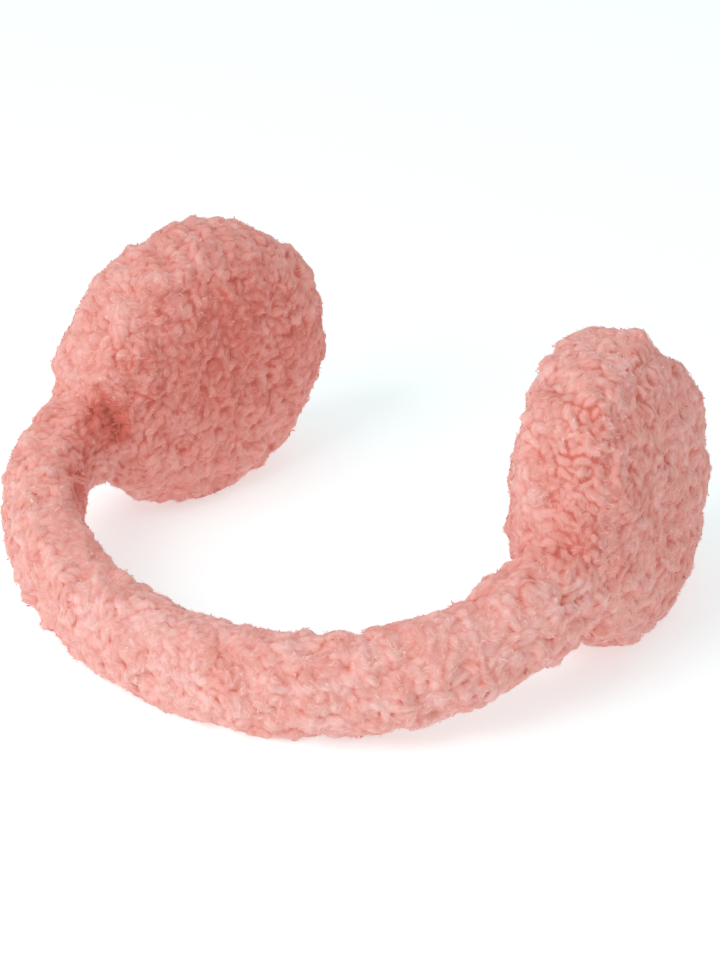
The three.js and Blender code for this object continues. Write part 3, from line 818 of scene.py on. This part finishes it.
def wisps(skin, curls, pile, painted_level, place, fleece, count, rng):
    """Wisps of wool on the curls, as slivers with four corners each: two ends, and between them
    the two sides of the middle, which is arched. Most lie along a curl with both ends sunk in
    it, and the strays are thin and stand out of it. Beside a seam they turn across it, to
    cover it. Returns the corners, the level of painted light and shade at each, raised as a
    painted highlight on fine hairs, more for the strays and the far ends, and the tone of each
    wisp, which is half its curl's and half its own."""
    step, curl, side, shift, height, level = wisp_roots(skin, curls, pile, painted_level, count, rng)
    normal, along, across = (k[step, curl] for k in (curls.normals, curls.along, curls.across))
    size = (step.size, 1)
    surface = (
        curls.points[step, curl] + across * shift[:, None]
        + normal * (height - fleece.pile_low)[:, None])
    slope = 2 * curls.drop[step, curl] * side / curls.radius[step, curl]
    lean = unit(normal + across * slope[:, None])
    stray = rng.uniform(size=size) < fleece.strays
    sway = rng.normal(0, fleece.sway, size)
    way = unit(along * np.cos(sway) + np.cross(lean, along) * np.sin(sway))
    to_seam = np.minimum(np.abs(surface[:, 2] - place.low), np.abs(surface[:, 2] - place.high))
    over = bump(to_seam, WISP_SEAM)[:, None] * WISP_ACROSS
    across_seam = np.array([0, 0, 1]) - lean * lean[:, 2:]
    way = unit(way + over * np.sign(way[:, 2:] + 1e-9) * across_seam)
    rise = np.where(stray, rng.uniform(*STRAY["rise"], size), rng.uniform(*LAIN["rise"], size))
    way = unit(way + lean * rise)
    beside = unit(np.cross(lean, way))
    long, wide, behind = (
        np.where(stray, STRAY[key], LAIN[key]) for key in ("length", "width", "behind"))
    shortest, thinnest = 0.6, 0.5  # shares of the longest and the widest
    length = fleece.wisp_length * rng.uniform(shortest, 1, size) * long
    width = fleece.wisp_width * rng.uniform(thinnest, 1, size) * wide
    lift = rng.uniform(*WISP_LIFT, size)
    crook = rng.normal(0, WISP_CROOK, size)
    start = surface - way * length * behind + lean * lift
    end = start + way * length
    middle = (start + end) / 2 + lean * WISP_ARCH + beside * crook
    half = beside * width / 2
    corners = np.stack([start, middle - half, middle + half, end], 1)
    # painted highlight on the wisps: the strays paler still, each paler at its far end and darker
    # at its root
    paler_stray, paler_end, palest = 0.2, 0.1, 1.2
    level = np.clip(level + fleece.paler + paler_stray * stray[:, 0], 0, palest)
    levels = np.stack([level - paler_end, level, level, level + paler_end], 1)
    tone = 0.5 * curls.tone[curl] + 0.5 * rng.uniform(size=step.size)
    return corners, levels, tone


# Meshes


def tube_faces(rows, columns):
    """Two triangles for each cell of a grid whose columns close on themselves, then a fan to
    one more point past each end. Beside them, their corners' places on a flat map: the grid
    fills it up to its share, and each fan is a strip over that."""
    r, c = np.meshgrid(np.arange(rows - 1), np.arange(columns), indexing="ij")
    r, c = r.ravel(), c.ravel()
    near, far = r * columns, (r + 1) * columns
    d = (c + 1) % columns
    cells = np.stack([near + c, near + d, far + d, near + c, far + d, far + c], 1)
    u = np.stack([c, c + 1, c + 1, c, c + 1, c], 1) / columns
    v = np.stack([r, r, r + 1, r, r + 1, r + 1], 1) / (rows - 1)
    c = np.arange(columns)
    d = (c + 1) % columns
    last = (rows - 1) * columns
    centres = np.full(columns, rows * columns)
    fans = np.concatenate([
        np.stack([centres, d, c], 1), np.stack([centres + 1, last + c, last + d], 1)])
    faces = np.concatenate([cells.reshape(-1, 3), fans])
    strip = np.tile(np.stack([c + 0.5, c + 1, c], 1) / columns, (2, 1))
    strips = [[0.972, 0.982, 0.982], [0.988, 0.998, 0.998]]  # middle and edge of each fan
    level = np.repeat(strips, columns, 0)
    places = np.concatenate([
        np.stack([u, v * MAP_GRID], -1).reshape(-1, 3, 2), np.stack([strip, level], -1)])
    return faces, places


def disc_faces(size):
    """Two triangles for each cell of a square grid, then a fan under it from its edge to one
    more point. Beside them, their corners' places on a flat map, as for a tube."""
    r, c = (k.ravel() for k in np.meshgrid(
        np.arange(size - 1), np.arange(size - 1), indexing="ij"))
    corners = [(r, c), (r, c + 1), (r + 1, c + 1), (r, c), (r + 1, c + 1), (r + 1, c)]
    cells = np.stack([a * size + b for a, b in corners], 1)
    places = np.stack([np.stack([b, a * MAP_GRID], -1) for a, b in corners], 1) / (size - 1)
    low = np.arange(size - 1)
    high = size - 1 - low
    top = size - 1
    edge = np.concatenate([low, low * size + top, top * size + high, high * size])
    beside = np.roll(edge, -1)
    centre = np.full(edge.size, size * size)
    faces = np.concatenate([cells.reshape(-1, 3), np.stack([centre, beside, edge], 1)])
    k = np.arange(edge.size)
    strip = np.stack([k + 0.5, k + 1, k], 1) / edge.size
    level = np.repeat([[0.972, 0.99, 0.99]], edge.size, 0)  # middle and edge of the fan
    places = np.concatenate([places.reshape(-1, 3, 2), np.stack([strip, level], -1)])
    return faces, places


def wisp_faces(count):
    """Four triangles for each wisp, facing outwards. Each wisp has its own small square of the
    flat map, and each face a quarter of it, inside a margin."""
    sliver = np.array([(0, 1, 2), (3, 2, 1), (0, 3, 1), (0, 2, 3)])
    faces = (np.arange(count)[:, None, None] * 4 + sliver).reshape(-1, 3)
    across = math.ceil(math.sqrt(count))
    cell = np.stack([np.arange(count) % across, np.arange(count) // across], -1)
    square = np.array([(0, 0), (1, 0), (1, 1), (0, 1)])
    quarters = np.array([[(0.5, 0.5), square[k], square[(k + 1) % 4]] for k in range(4)])
    margin = 0.04
    places = cell[:, None, None] + margin + (1 - 2 * margin) * quarters
    return faces, places.reshape(-1, 3, 2) / across


def make_piece(name, points, faces, places, values, material, smooth):
    """A mesh in the scene, with a flat map and one number or vector at each point for every
    attribute in values. Faces are shaded smooth where all of their corners are among the
    first points, as many as smooth says."""
    mesh = bpy.data.meshes.new(name)
    mesh.vertices.add(len(points))
    mesh.vertices.foreach_set("co", points.astype(np.float32).ravel())
    mesh.loops.add(faces.size)
    mesh.loops.foreach_set("vertex_index", faces.astype(np.int32).ravel())
    mesh.polygons.add(len(faces))
    mesh.polygons.foreach_set("loop_start", np.arange(0, faces.size, 3, dtype=np.int32))
    mesh.update(calc_edges=True)
    mesh.uv_layers.new(name="OFBake").data.foreach_set("uv", places.astype(np.float32).ravel())
    for key, value in values.items():
        kind, field = ("FLOAT_VECTOR", "vector") if value.ndim > 1 else ("FLOAT", "value")
        data = mesh.attributes.new(key, kind, "POINT").data
        data.foreach_set(field, value.astype(np.float32).ravel())
    mesh.polygons.foreach_set("use_smooth", (faces < smooth).all(axis=1))
    mesh.materials.append(material)
    piece = bpy.data.objects.new(name, mesh)
    bpy.context.scene.collection.objects.link(piece)
    return piece


class Place:
    """Where a piece that is made in its own frame goes. low and high keep its curls on their
    own side of the seams, and a metre off they keep nothing in."""

    def __init__(self, centre=(0, 0, 0), turned=np.eye(3), low=-1, high=1):
        self.centre, self.turned, self.low, self.high = centre, turned, low, high

    def settle(self, points, kept=False):
        """Points of the piece's own frame in the earmuffs' frame, never under the floor, and
        kept between the seams if that is asked for."""
        if kept:
            points = points.copy()
            points[..., 2] = np.clip(points[..., 2], self.low, self.high)
        points = points @ self.turned.T + self.centre
        points[..., 2] = np.maximum(points[..., 2], 0)
        return points


def draw_in(points, settled, to_seam, pads):
    """Draws a pad's points in towards its axis beside a seam, by a share of the seam's depth
    that grows with the depth of the clefts there. settled are the same points in the
    earmuffs' frame."""
    pull = bump(to_seam, SEAM_WIDTH) * (SEAM_PULL + partings_and_painted_light(settled)[1])
    points[..., :2] *= 1 - (pads.seam_depth * 2 / pads.height * pull)[..., None]


def rim_skin(name, pads, band, fleece):
    """The skin of a pad's rim between its seams: the pad's section carried round an ellipse.
    It is drawn in beside the seams and lumpy elsewhere, with dents that fade to the seams by
    the fourth power. Where the band sits it stays even and grows no pile, and round that
    place its hollows are filled."""
    turn, step = seam_turn(pads), fleece.mesh_step
    section, length = pad_stretch(pads, -turn, turn, step)
    rows = len(section)
    columns = round(math.pi * (pads.height + pads.length) / 2 / step)
    around = 2 * np.pi * np.arange(columns) / columns
    ways = np.stack([pads.length / 2 * np.cos(around), pads.height / 2 * np.sin(around)], -1)
    points = np.empty((rows, columns, 3))
    points[..., :2] = section[:, None, :1] * ways
    points[..., 2] = section[:, 1:]
    _, normals = off_pad(points, pads)
    along = np.linspace(0, length, rows)
    to_seam = np.broadcast_to(np.minimum(along, length - along)[:, None], (rows, columns))

    centre, turned, _ = pad_place(name, pads, band, fleece)
    settled = points @ turned.T + centre
    draw_in(points, settled, to_seam, pads)
    line = BandLine(pads, band, fleece)
    stretch = (0, NEAR_PAD) if PADS[name]["side"] < 0 else (1 - NEAR_PAD, 1)
    inside = line.inside(settled, stretch)
    grown = smoothstep(*BAND_FOOT, inside)
    fold = sum(
        depth * pads.height * bump(turn_between(place, np.degrees(around)), sweep)
        for place, depth, sweep in RIM_FOLDS[name])
    fold = fold * (1 - np.linspace(-1, 1, rows)[:, None] ** 4)
    lump = filled(unevenness(settled, fleece), smoothstep(*BAND_RING, inside))
    points += growing_ways(normals, to_seam) * ((lump - fold) * grown)[..., None]
    return Skin(points, normals, True, grown, to_seam)


def face_skin(pads, fleece, place):
    """The skin of a pad's face: a square grid drawn into a disc (each side shrunk by the root
    of 1 - half the other's square), whose distance from the middle is the way along the pad's
    section from the middle of the face to the seam."""
    section, length = pad_stretch(pads, math.pi / 2, seam_turn(pads), fleece.mesh_step)
    size = round(1.8 * length / fleece.mesh_step)  # less than 2, as the corners are drawn in
    b, a = np.meshgrid(*[np.linspace(-1, 1, size)] * 2, indexing="ij")
    x, y = a * np.sqrt(1 - b * b / 2), b * np.sqrt(1 - a * a / 2)
    out, around = np.hypot(x, y), np.arctan2(y, x)
    share = np.linspace(0, 1, len(section))
    reach, height = (np.interp(out, share, column) for column in section.T)
    points = np.stack([
        pads.length / 2 * reach * np.cos(around),
        pads.height / 2 * reach * np.sin(around),
        height,
    ], -1)
    _, normals = off_pad(points, pads)
    settled, to_seam = place.settle(points), (1 - out) * length
    draw_in(points, settled, to_seam, pads)
    points += growing_ways(normals, to_seam) * unevenness(settled, fleece)[..., None]
    return Skin(points, normals, False, np.ones(out.shape), to_seam)


def band_ends(line, name, turn, share, pads, fleece):
    """Where the band comes out of a pad, as a place along it, for each share and turn of its
    section: where the way off the pad, between the last place tried that lies in the pad's
    backing and the next, first clears that backing."""
    centre, turned, _ = pad_place(name, pads, line.band, fleece)
    at = np.linspace(0, END_REACH, END_STEPS)
    if PADS[name]["side"] > 0:
        at = 1 - at
    grid = np.broadcast_to(at[:, None, None], (at.size, share.size, turn.size))
    points, _ = line.skin(grid, turn, share[:, None])
    off, _ = off_pad((points - centre) @ turned, pads)
    wanted = END_CLEAR - fleece.pile_low
    last = at.size - 1 - np.argmax(off[::-1] < wanted, axis=0)
    here, there = (np.take_along_axis(off, k[None], 0)[0] for k in (last, last + 1))
    return at[last] + (wanted - here) / (there - here) * (at[1] - at[0])


def band_skin(pads, band, fleece):
    """The skin of the band between the pads, and the rings and middles that close its ends
    inside the fleece of the pads. Lumps and folds fade at its ends, where its hollows are
    filled."""
    line = BandLine(pads, band, fleece)
    columns = round(math.pi * (band.width + band.thickness) / 2 / fleece.mesh_step)
    turn = 2 * np.pi * np.arange(columns) / columns
    edge = 1 - fleece.pile_low * 2 / band.width
    share = np.append(edge * np.arange(CAP_RINGS) / CAP_RINGS, 1)
    ends = [band_ends(line, name, turn, share, pads, fleece) for name in PADS]
    left, right = ends[0][-1], ends[1][-1]
    rows = round((right - left).mean() * line.length / fleece.mesh_step)
    at = left + (right - left) * np.linspace(0, 1, rows)[:, None]
    grid_turn = np.broadcast_to(turn, at.shape)
    points, normals = line.skin(at, grid_turn)
    from_end = np.minimum(at - left, right - at) * line.length
    lump = filled(unevenness(points, fleece), bump(from_end, END_FILL))
    grown = smoothstep(-END_EASE, END_EASE, from_end)
    points += normals * ((lump - band_fold(at, grid_turn, line)) * grown)[..., None]
    caps = [line.skin(end[:-1], np.broadcast_to(turn, end[:-1].shape), share[:-1, None])[0]
            for end in ends]
    skin = Skin(points, normals, True, grown, np.ones(at.shape))
    return skin, caps[0][1:], caps[1][:0:-1], np.stack([caps[0][0, 0], caps[1][0, 0]])


# Finishes


class Wire:
    """A socket of a material in sums such as 1 - mask * 0.5, which add their Math nodes."""

    def __init__(self, finish, socket):
        self.finish, self.socket = finish, socket

    def math(self, operation, *values):
        """The result of a Math node that works on wires and numbers."""
        return self.finish.node("Math", {"operation": operation}, dict(enumerate(values)))

    def __add__(self, other):
        return self.math("ADD", self, other)

    def __sub__(self, other):
        return self.math("SUBTRACT", self, other)

    def __rsub__(self, other):
        return self.math("SUBTRACT", other, self)

    def __mul__(self, other):
        return self.math("MULTIPLY", self, other)

    __radd__, __rmul__ = __add__, __mul__

    def eased(self, low, high):
        """0 below low and 1 above high, smoothly between them."""
        settings = {"interpolation_type": "SMOOTHSTEP"}
        return self.finish.node("MapRange", settings, {0: self, 1: low, 2: high})


class Finish:
    """A material being built from nodes."""

    def __init__(self, name):
        self.material = bpy.data.materials.new(name)
        self.material.use_nodes = True
        self.tree = self.material.node_tree
        self.tree.nodes.clear()

    def node(self, kind, settings=None, inputs=None, output=0):
        """Adds a node of a kind, sets it up, then fills its sockets with values or wires."""
        node = self.tree.nodes.new("ShaderNode" + kind)
        for key, value in (settings or {}).items():
            setattr(node, key, value)
        for key, value in (inputs or {}).items():
            if isinstance(value, Wire):
                self.tree.links.new(value.socket, node.inputs[key])
            else:
                node.inputs[key].default_value = value
        return Wire(self, node.outputs[output] if node.outputs else None)

    def mix(self, share, first, second):
        """A colour between two colours."""
        colours = [c if isinstance(c, Wire) else (*c, 1) for c in (first, second)]
        return self.node("Mix", {"data_type": "RGBA"}, {0: share, 6: colours[0], 7: colours[1]}, 2)

    def surface(self, inputs):
        """Ends the material in a Principled shader."""
        shader = self.node("BsdfPrincipled", None, inputs)
        self.node("OutputMaterial", None, {"Surface": shader})
        return self.material


def fleece_finish(name, colours, painted_shade_shift):
    """Curly wool: deep and warm with painted shade between the curls and pale with a painted
    highlight at their tops, through four colours that give way to one another as the level of
    painted light rises. That level also changes from curl to curl and from patch to patch, and
    the finish's painted shade shift lowers it all over. Fine fibres along the curls lighten,
    darken and roughen it, and it has a soft sheen."""
    f = Finish(name)
    curl_share, patch_share = 0.2, 0.8  # how much the curls and the patches change the level
    curl_light = 0.1  # how much the curls differ in brightness
    place = f.node("TexCoord", output="Object")
    # the pile attribute is the level of painted light and shade
    pile = f.node("Attribute", {"attribute_name": "pile"}, output="Fac")
    tone = f.node("Attribute", {"attribute_name": "tone"}, output="Fac")
    strand = f.node("Attribute", {"attribute_name": "strand"}, output="Vector")
    patches = f.node("TexNoise", None, {"Vector": place, "Scale": 90.0, "Detail": 2.0})
    fineness = (1000.0, 200.0, 1000.0)  # fibres are about 1 mm wide and 5 mm long
    lie = f.node("Mapping", None, {"Vector": strand, "Scale": fineness})
    fibres = f.node("TexNoise", None, {"Vector": lie, "Scale": 1.0, "Detail": 2.0})
    level = pile + (tone - MIDDLE_TONE) * curl_share + (patches - 0.5) * patch_share - painted_shade_shift
    # from painted shade deep in the clefts, through the wool, to a painted highlight on the tops
    colour = colours.shaded
    steps = ((colours.backing, -1.0, -0.05), (colours.wool, 0.0, 0.6), (colours.tips, 0.45, 1.15))
    for paler, low, high in steps:
        colour = f.mix(level.eased(low, high), colour, paler)
    light = 1 + (fibres - 0.5) * colours.fibres + (tone - MIDDLE_TONE) * curl_light
    colour = f.node("VectorMath", {"operation": "SCALE"}, {0: colour, "Scale": light})
    normal = f.node("Bump", None, {"Height": fibres, "Distance": 0.0002, "Strength": 0.5})
    return f.surface({
        "Base Color": colour,
        "Roughness": 0.92,
        "Specular IOR Level": 0.1,
        "Sheen Weight": 0.3,
        "Sheen Roughness": 0.5,
        "Sheen Tint": (*colours.sheen, 1),
        "Normal": normal,
    })


def fleece_material(slot, scene):
    """The finish of a material slot, made once."""
    name = slot.replace("_", " ").capitalize()
    material = bpy.data.materials.get(name)
    return material or fleece_finish(name, scene.earmuff_colours, PAINTED_SHADE_SHIFT[slot])


def dress(scene, node, slot, skin, place, layout, before, after, middles, seed):
    """Grows fleece on a skin and makes its two pieces: the curls, which stand for the CAD node,
    and the wisps of wool on them. Beside a seam the pile gives way to one of even height.
    before and after are the points that close the skin's grid, and the last of them, as many
    as middles says, are the middles of its ends. Wisps that would be pressed flat on the
    floor are left out."""
    fleece, rng = scene.earmuff_fleece, np.random.default_rng(seed)
    settled = place.settle(skin.points)
    # depth is the painted shade from the table, made deeper in the hollows between the tufts and
    # paler on them
    _, skin.clefts, depth = partings_and_painted_light(settled)
    depth = depth - fleece.tuft_shade * ripples(settled, fleece.tuft_size, TUFT_SEED)
    curls = Curls(skin, fleece, rng)
    pile, tone, strand = grow(skin, curls, fleece)
    left, change = SEAM_PILE
    level = (fleece.pile_low + fleece.pile_high) * (
        left + change * ripples(settled, SEAM_RIPPLE, SEAM_SEED))
    at_seam = bump(skin.to_seam, SEAM_WIDTH / 2)
    painted_level = painted_light_level(pile + (level - pile) * at_seam, skin.clefts, depth, skin.wraps, fleece)
    pile = softened(pile, skin.wraps, fleece.soften)
    pile += (level - pile) * at_seam
    grown = skin.points + skin.ways * (pile - fleece.pile_low)[..., None]
    points = np.concatenate([k.reshape(-1, 3) for k in (before, grown, after)])
    ends = (before.size // 3, after.size // 3)
    # the pile attribute carries the level of painted light and shade
    values = {
        "pile": np.pad(painted_level.ravel(), ends),
        "tone": np.pad(tone.ravel(), ends),
        "strand": np.pad(strand.reshape(-1, 3), (ends, (0, 0))),
    }
    material = fleece_material(slot, scene)
    curly = make_piece(
        node + "_fleece", place.settle(points, kept=True), *layout, values, material,
        len(points) - middles)
    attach(curly, "root")
    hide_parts(node)

    square_millimetres = 1e6 * (skin.area * (skin.pile > GROWN)).sum()
    count = min(int(fleece.wisps * square_millimetres), fleece.most_wisps)
    corners, levels, tones = wisps(skin, curls, pile, painted_level, place, fleece, count, rng)
    corners = place.settle(corners)
    clear = corners[..., 2].max(axis=1) > WISP_CLEAR
    corners = corners[clear]
    # the pile attribute carries the wisps' level of painted light and shade
    values = {
        "pile": levels[clear].ravel(),
        "tone": np.repeat(tones[clear], 4),
        "strand": np.repeat(rng.uniform(0, STRAND_SPREAD, (len(corners), 3)), 4, axis=0),
    }
    hairs = make_piece(
        node + "_wisps", corners.reshape(-1, 3), *wisp_faces(len(corners)), values, material, 0)
    hairs.visible_shadow = hairs.visible_diffuse = False  # hairs so fine cast next to no shadow
    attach(hairs, "root")


# Operators


class EARMUFFS_OT_headband(bpy.types.Operator):
    """Make the padded headband and its wool"""

    bl_idname = "earmuffs.headband"
    bl_label = "Headband"

    def execute(self, context):
        scene = context.scene
        pads, band, fleece = scene.earmuff_pads, scene.earmuff_band, scene.earmuff_fleece
        skin, before, after, middles = band_skin(pads, band, fleece)
        rows = skin.shape[0] + len(before) + len(after)
        layout = tube_faces(rows, skin.shape[1])
        after = np.concatenate([after.reshape(-1, 3), middles])
        dress(scene, "headband", "band_fleece", skin, Place(), layout, before, after, 2, SEED)
        return {"FINISHED"}


class EARMUFFS_OT_pad_rims(bpy.types.Operator):
    """Make the stuffed rim of each ear pad and its wool"""

    bl_idname = "earmuffs.pad_rims"
    bl_label = "Pad rims"

    def execute(self, context):
        scene = context.scene
        pads, band, fleece = scene.earmuff_pads, scene.earmuff_band, scene.earmuff_fleece
        seam = seam_height(pads) - fleece.gap / 2
        for seed, name in enumerate(PADS, RIM_SEED):
            skin = rim_skin(name, pads, band, fleece)
            centre, turned, _ = pad_place(name, pads, band, fleece)
            place = Place(centre, turned, -seam, seam)
            middles = np.array([(0, 0, -seam), (0, 0, seam)])
            dress(
                scene, name + "_pad_rim", "rim_fleece", skin, place,
                tube_faces(*skin.shape), np.empty((0, 3)), middles, 2, seed)
        return {"FINISHED"}


class EARMUFFS_OT_pad_faces(bpy.types.Operator):
    """Make the inner and the outer face of each ear pad and their wool"""

    bl_idname = "earmuffs.pad_faces"
    bl_label = "Pad faces"

    def execute(self, context):
        scene = context.scene
        pads, band, fleece = scene.earmuff_pads, scene.earmuff_band, scene.earmuff_fleece
        seam = seam_height(pads) + fleece.gap / 2
        seed = FACE_SEED
        for name, pad in PADS.items():
            centre, turned, _ = pad_place(name, pads, band, fleece)
            for face, way in (("inner", pad["side"]), ("outer", -pad["side"])):
                seed += 1
                place = Place(centre, turned * (1, way, way), seam)
                skin = face_skin(pads, fleece, place)
                dress(
                    scene, f"{name}_pad_{face}_face", "face_fleece", skin, place,
                    disc_faces(skin.shape[0]), np.empty((0, 3)), np.array([(0, 0, seam)]), 1,
                    seed)
        return {"FINISHED"}


class EARMUFFS_OT_stage(bpy.types.Operator):
    """Set up the floor, the light and the camera"""

    bl_idname = "earmuffs.stage"
    bl_label = "Stage"

    AIM = np.array([-0.0349, 0.0791, 0.0])  # what the camera and the softbox look at
    KEY_WAY = (-0.55, -0.5, 0.67)  # right, ahead and up from the aim, as the camera sees it
    KEY_DISTANCE = 1.6
    FLOOR_REACH = 4.0
    FLOOR_DROP = 1e-4  # under the earmuffs, so that no two faces lie in one plane
    SENSOR = 36  # width of the camera's frame in mm

    def execute(self, context):
        scene = context.scene
        studio = scene.earmuff_studio
        corners = [(x * self.FLOOR_REACH, y * self.FLOOR_REACH, -self.FLOOR_DROP)
                   for x, y in ((-1, -1), (1, -1), (1, 1), (-1, 1))]
        mesh = bpy.data.meshes.new("floor")
        mesh.from_pydata(corners, [], [(0, 1, 2, 3)])
        mesh.materials.append(Finish("Floor").surface({
            "Base Color": (*studio.floor, 1), "Roughness": 0.9, "Specular IOR Level": 0.1,
            "Emission Color": (*studio.floor_glow, 1), "Emission Strength": 1}))
        floor = bpy.data.objects.new("floor", mesh)
        scene.collection.objects.link(floor)

        world = bpy.data.worlds.new("Studio")
        world.use_nodes = True
        background = world.node_tree.nodes["Background"]
        background.inputs["Color"].default_value = (1, 1, 1, 1)
        background.inputs["Strength"].default_value = studio.sky
        scene.world = world

        azimuth, elevation = studio.azimuth, studio.elevation
        right = np.array([math.cos(azimuth), math.sin(azimuth), 0])
        ahead = np.array([-math.sin(azimuth), math.cos(azimuth), 0])
        up = np.array([0, 0, 1])
        lamp = bpy.data.lights.new("key", "AREA")
        lamp.energy, lamp.size = studio.key, studio.key_size
        way = unit(np.stack([right, ahead, up], 1) @ self.KEY_WAY)
        self.point(bpy.data.objects.new("key", lamp), self.AIM + way * self.KEY_DISTANCE, scene)

        lens = bpy.data.cameras.new("camera")
        lens.lens, lens.sensor_width = studio.lens, self.SENSOR
        back = up * math.sin(elevation) - ahead * math.cos(elevation)
        camera = bpy.data.objects.new("camera", lens)
        self.point(camera, self.AIM + back * studio.distance, scene)
        scene.camera = camera
        scene.view_settings.view_transform = "Standard"
        return {"FINISHED"}

    def point(self, thing, place, scene):
        """Puts a lamp or the camera in its place, looking at the aim."""
        scene.collection.objects.link(thing)
        look = Vector(self.AIM - place)
        thing.location = place
        thing.rotation_euler = look.to_track_quat("-Z", "Y").to_euler()


GROUPS = {
    "earmuff_pads": PadSizes,
    "earmuff_band": BandSizes,
    "earmuff_fleece": FleeceSizes,
    "earmuff_colours": FleeceColours,
    "earmuff_studio": StudioSettings,
}
OPERATORS = (
    EARMUFFS_OT_headband,
    EARMUFFS_OT_pad_rims,
    EARMUFFS_OT_pad_faces,
    EARMUFFS_OT_stage,
)


class EARMUFFS_PT_panel(bpy.types.Panel):
    """Lists the sizes, the colours and the pieces"""

    bl_label = "Earmuffs"
    bl_space_type = "VIEW_3D"
    bl_region_type = "UI"
    bl_category = "Earmuffs"

    def draw(self, context):
        for key, group in GROUPS.items():
            box = self.layout.box()
            for name in group.__annotations__:
                box.prop(getattr(context.scene, key), name)
        for operator in OPERATORS:
            self.layout.operator(operator.bl_idname)


def register():
    """Registers the classes and gives each scene its sizes, colours and settings."""
    for kind in (*GROUPS.values(), *OPERATORS, EARMUFFS_PT_panel):
        bpy.utils.register_class(kind)
    for key, group in GROUPS.items():
        setattr(bpy.types.Scene, key, bpy.props.PointerProperty(type=group))


def unregister():
    """Takes back what register did, in the opposite order."""
    for key in GROUPS:
        delattr(bpy.types.Scene, key)
    for kind in reversed((*GROUPS.values(), *OPERATORS, EARMUFFS_PT_panel)):
        bpy.utils.unregister_class(kind)


def main():
    """Makes the stage and the pieces."""
    register()
    bpy.ops.earmuffs.stage()
    bpy.ops.earmuffs.headband()
    bpy.ops.earmuffs.pad_rims()
    bpy.ops.earmuffs.pad_faces()


if __name__ == "__main__":
    main()
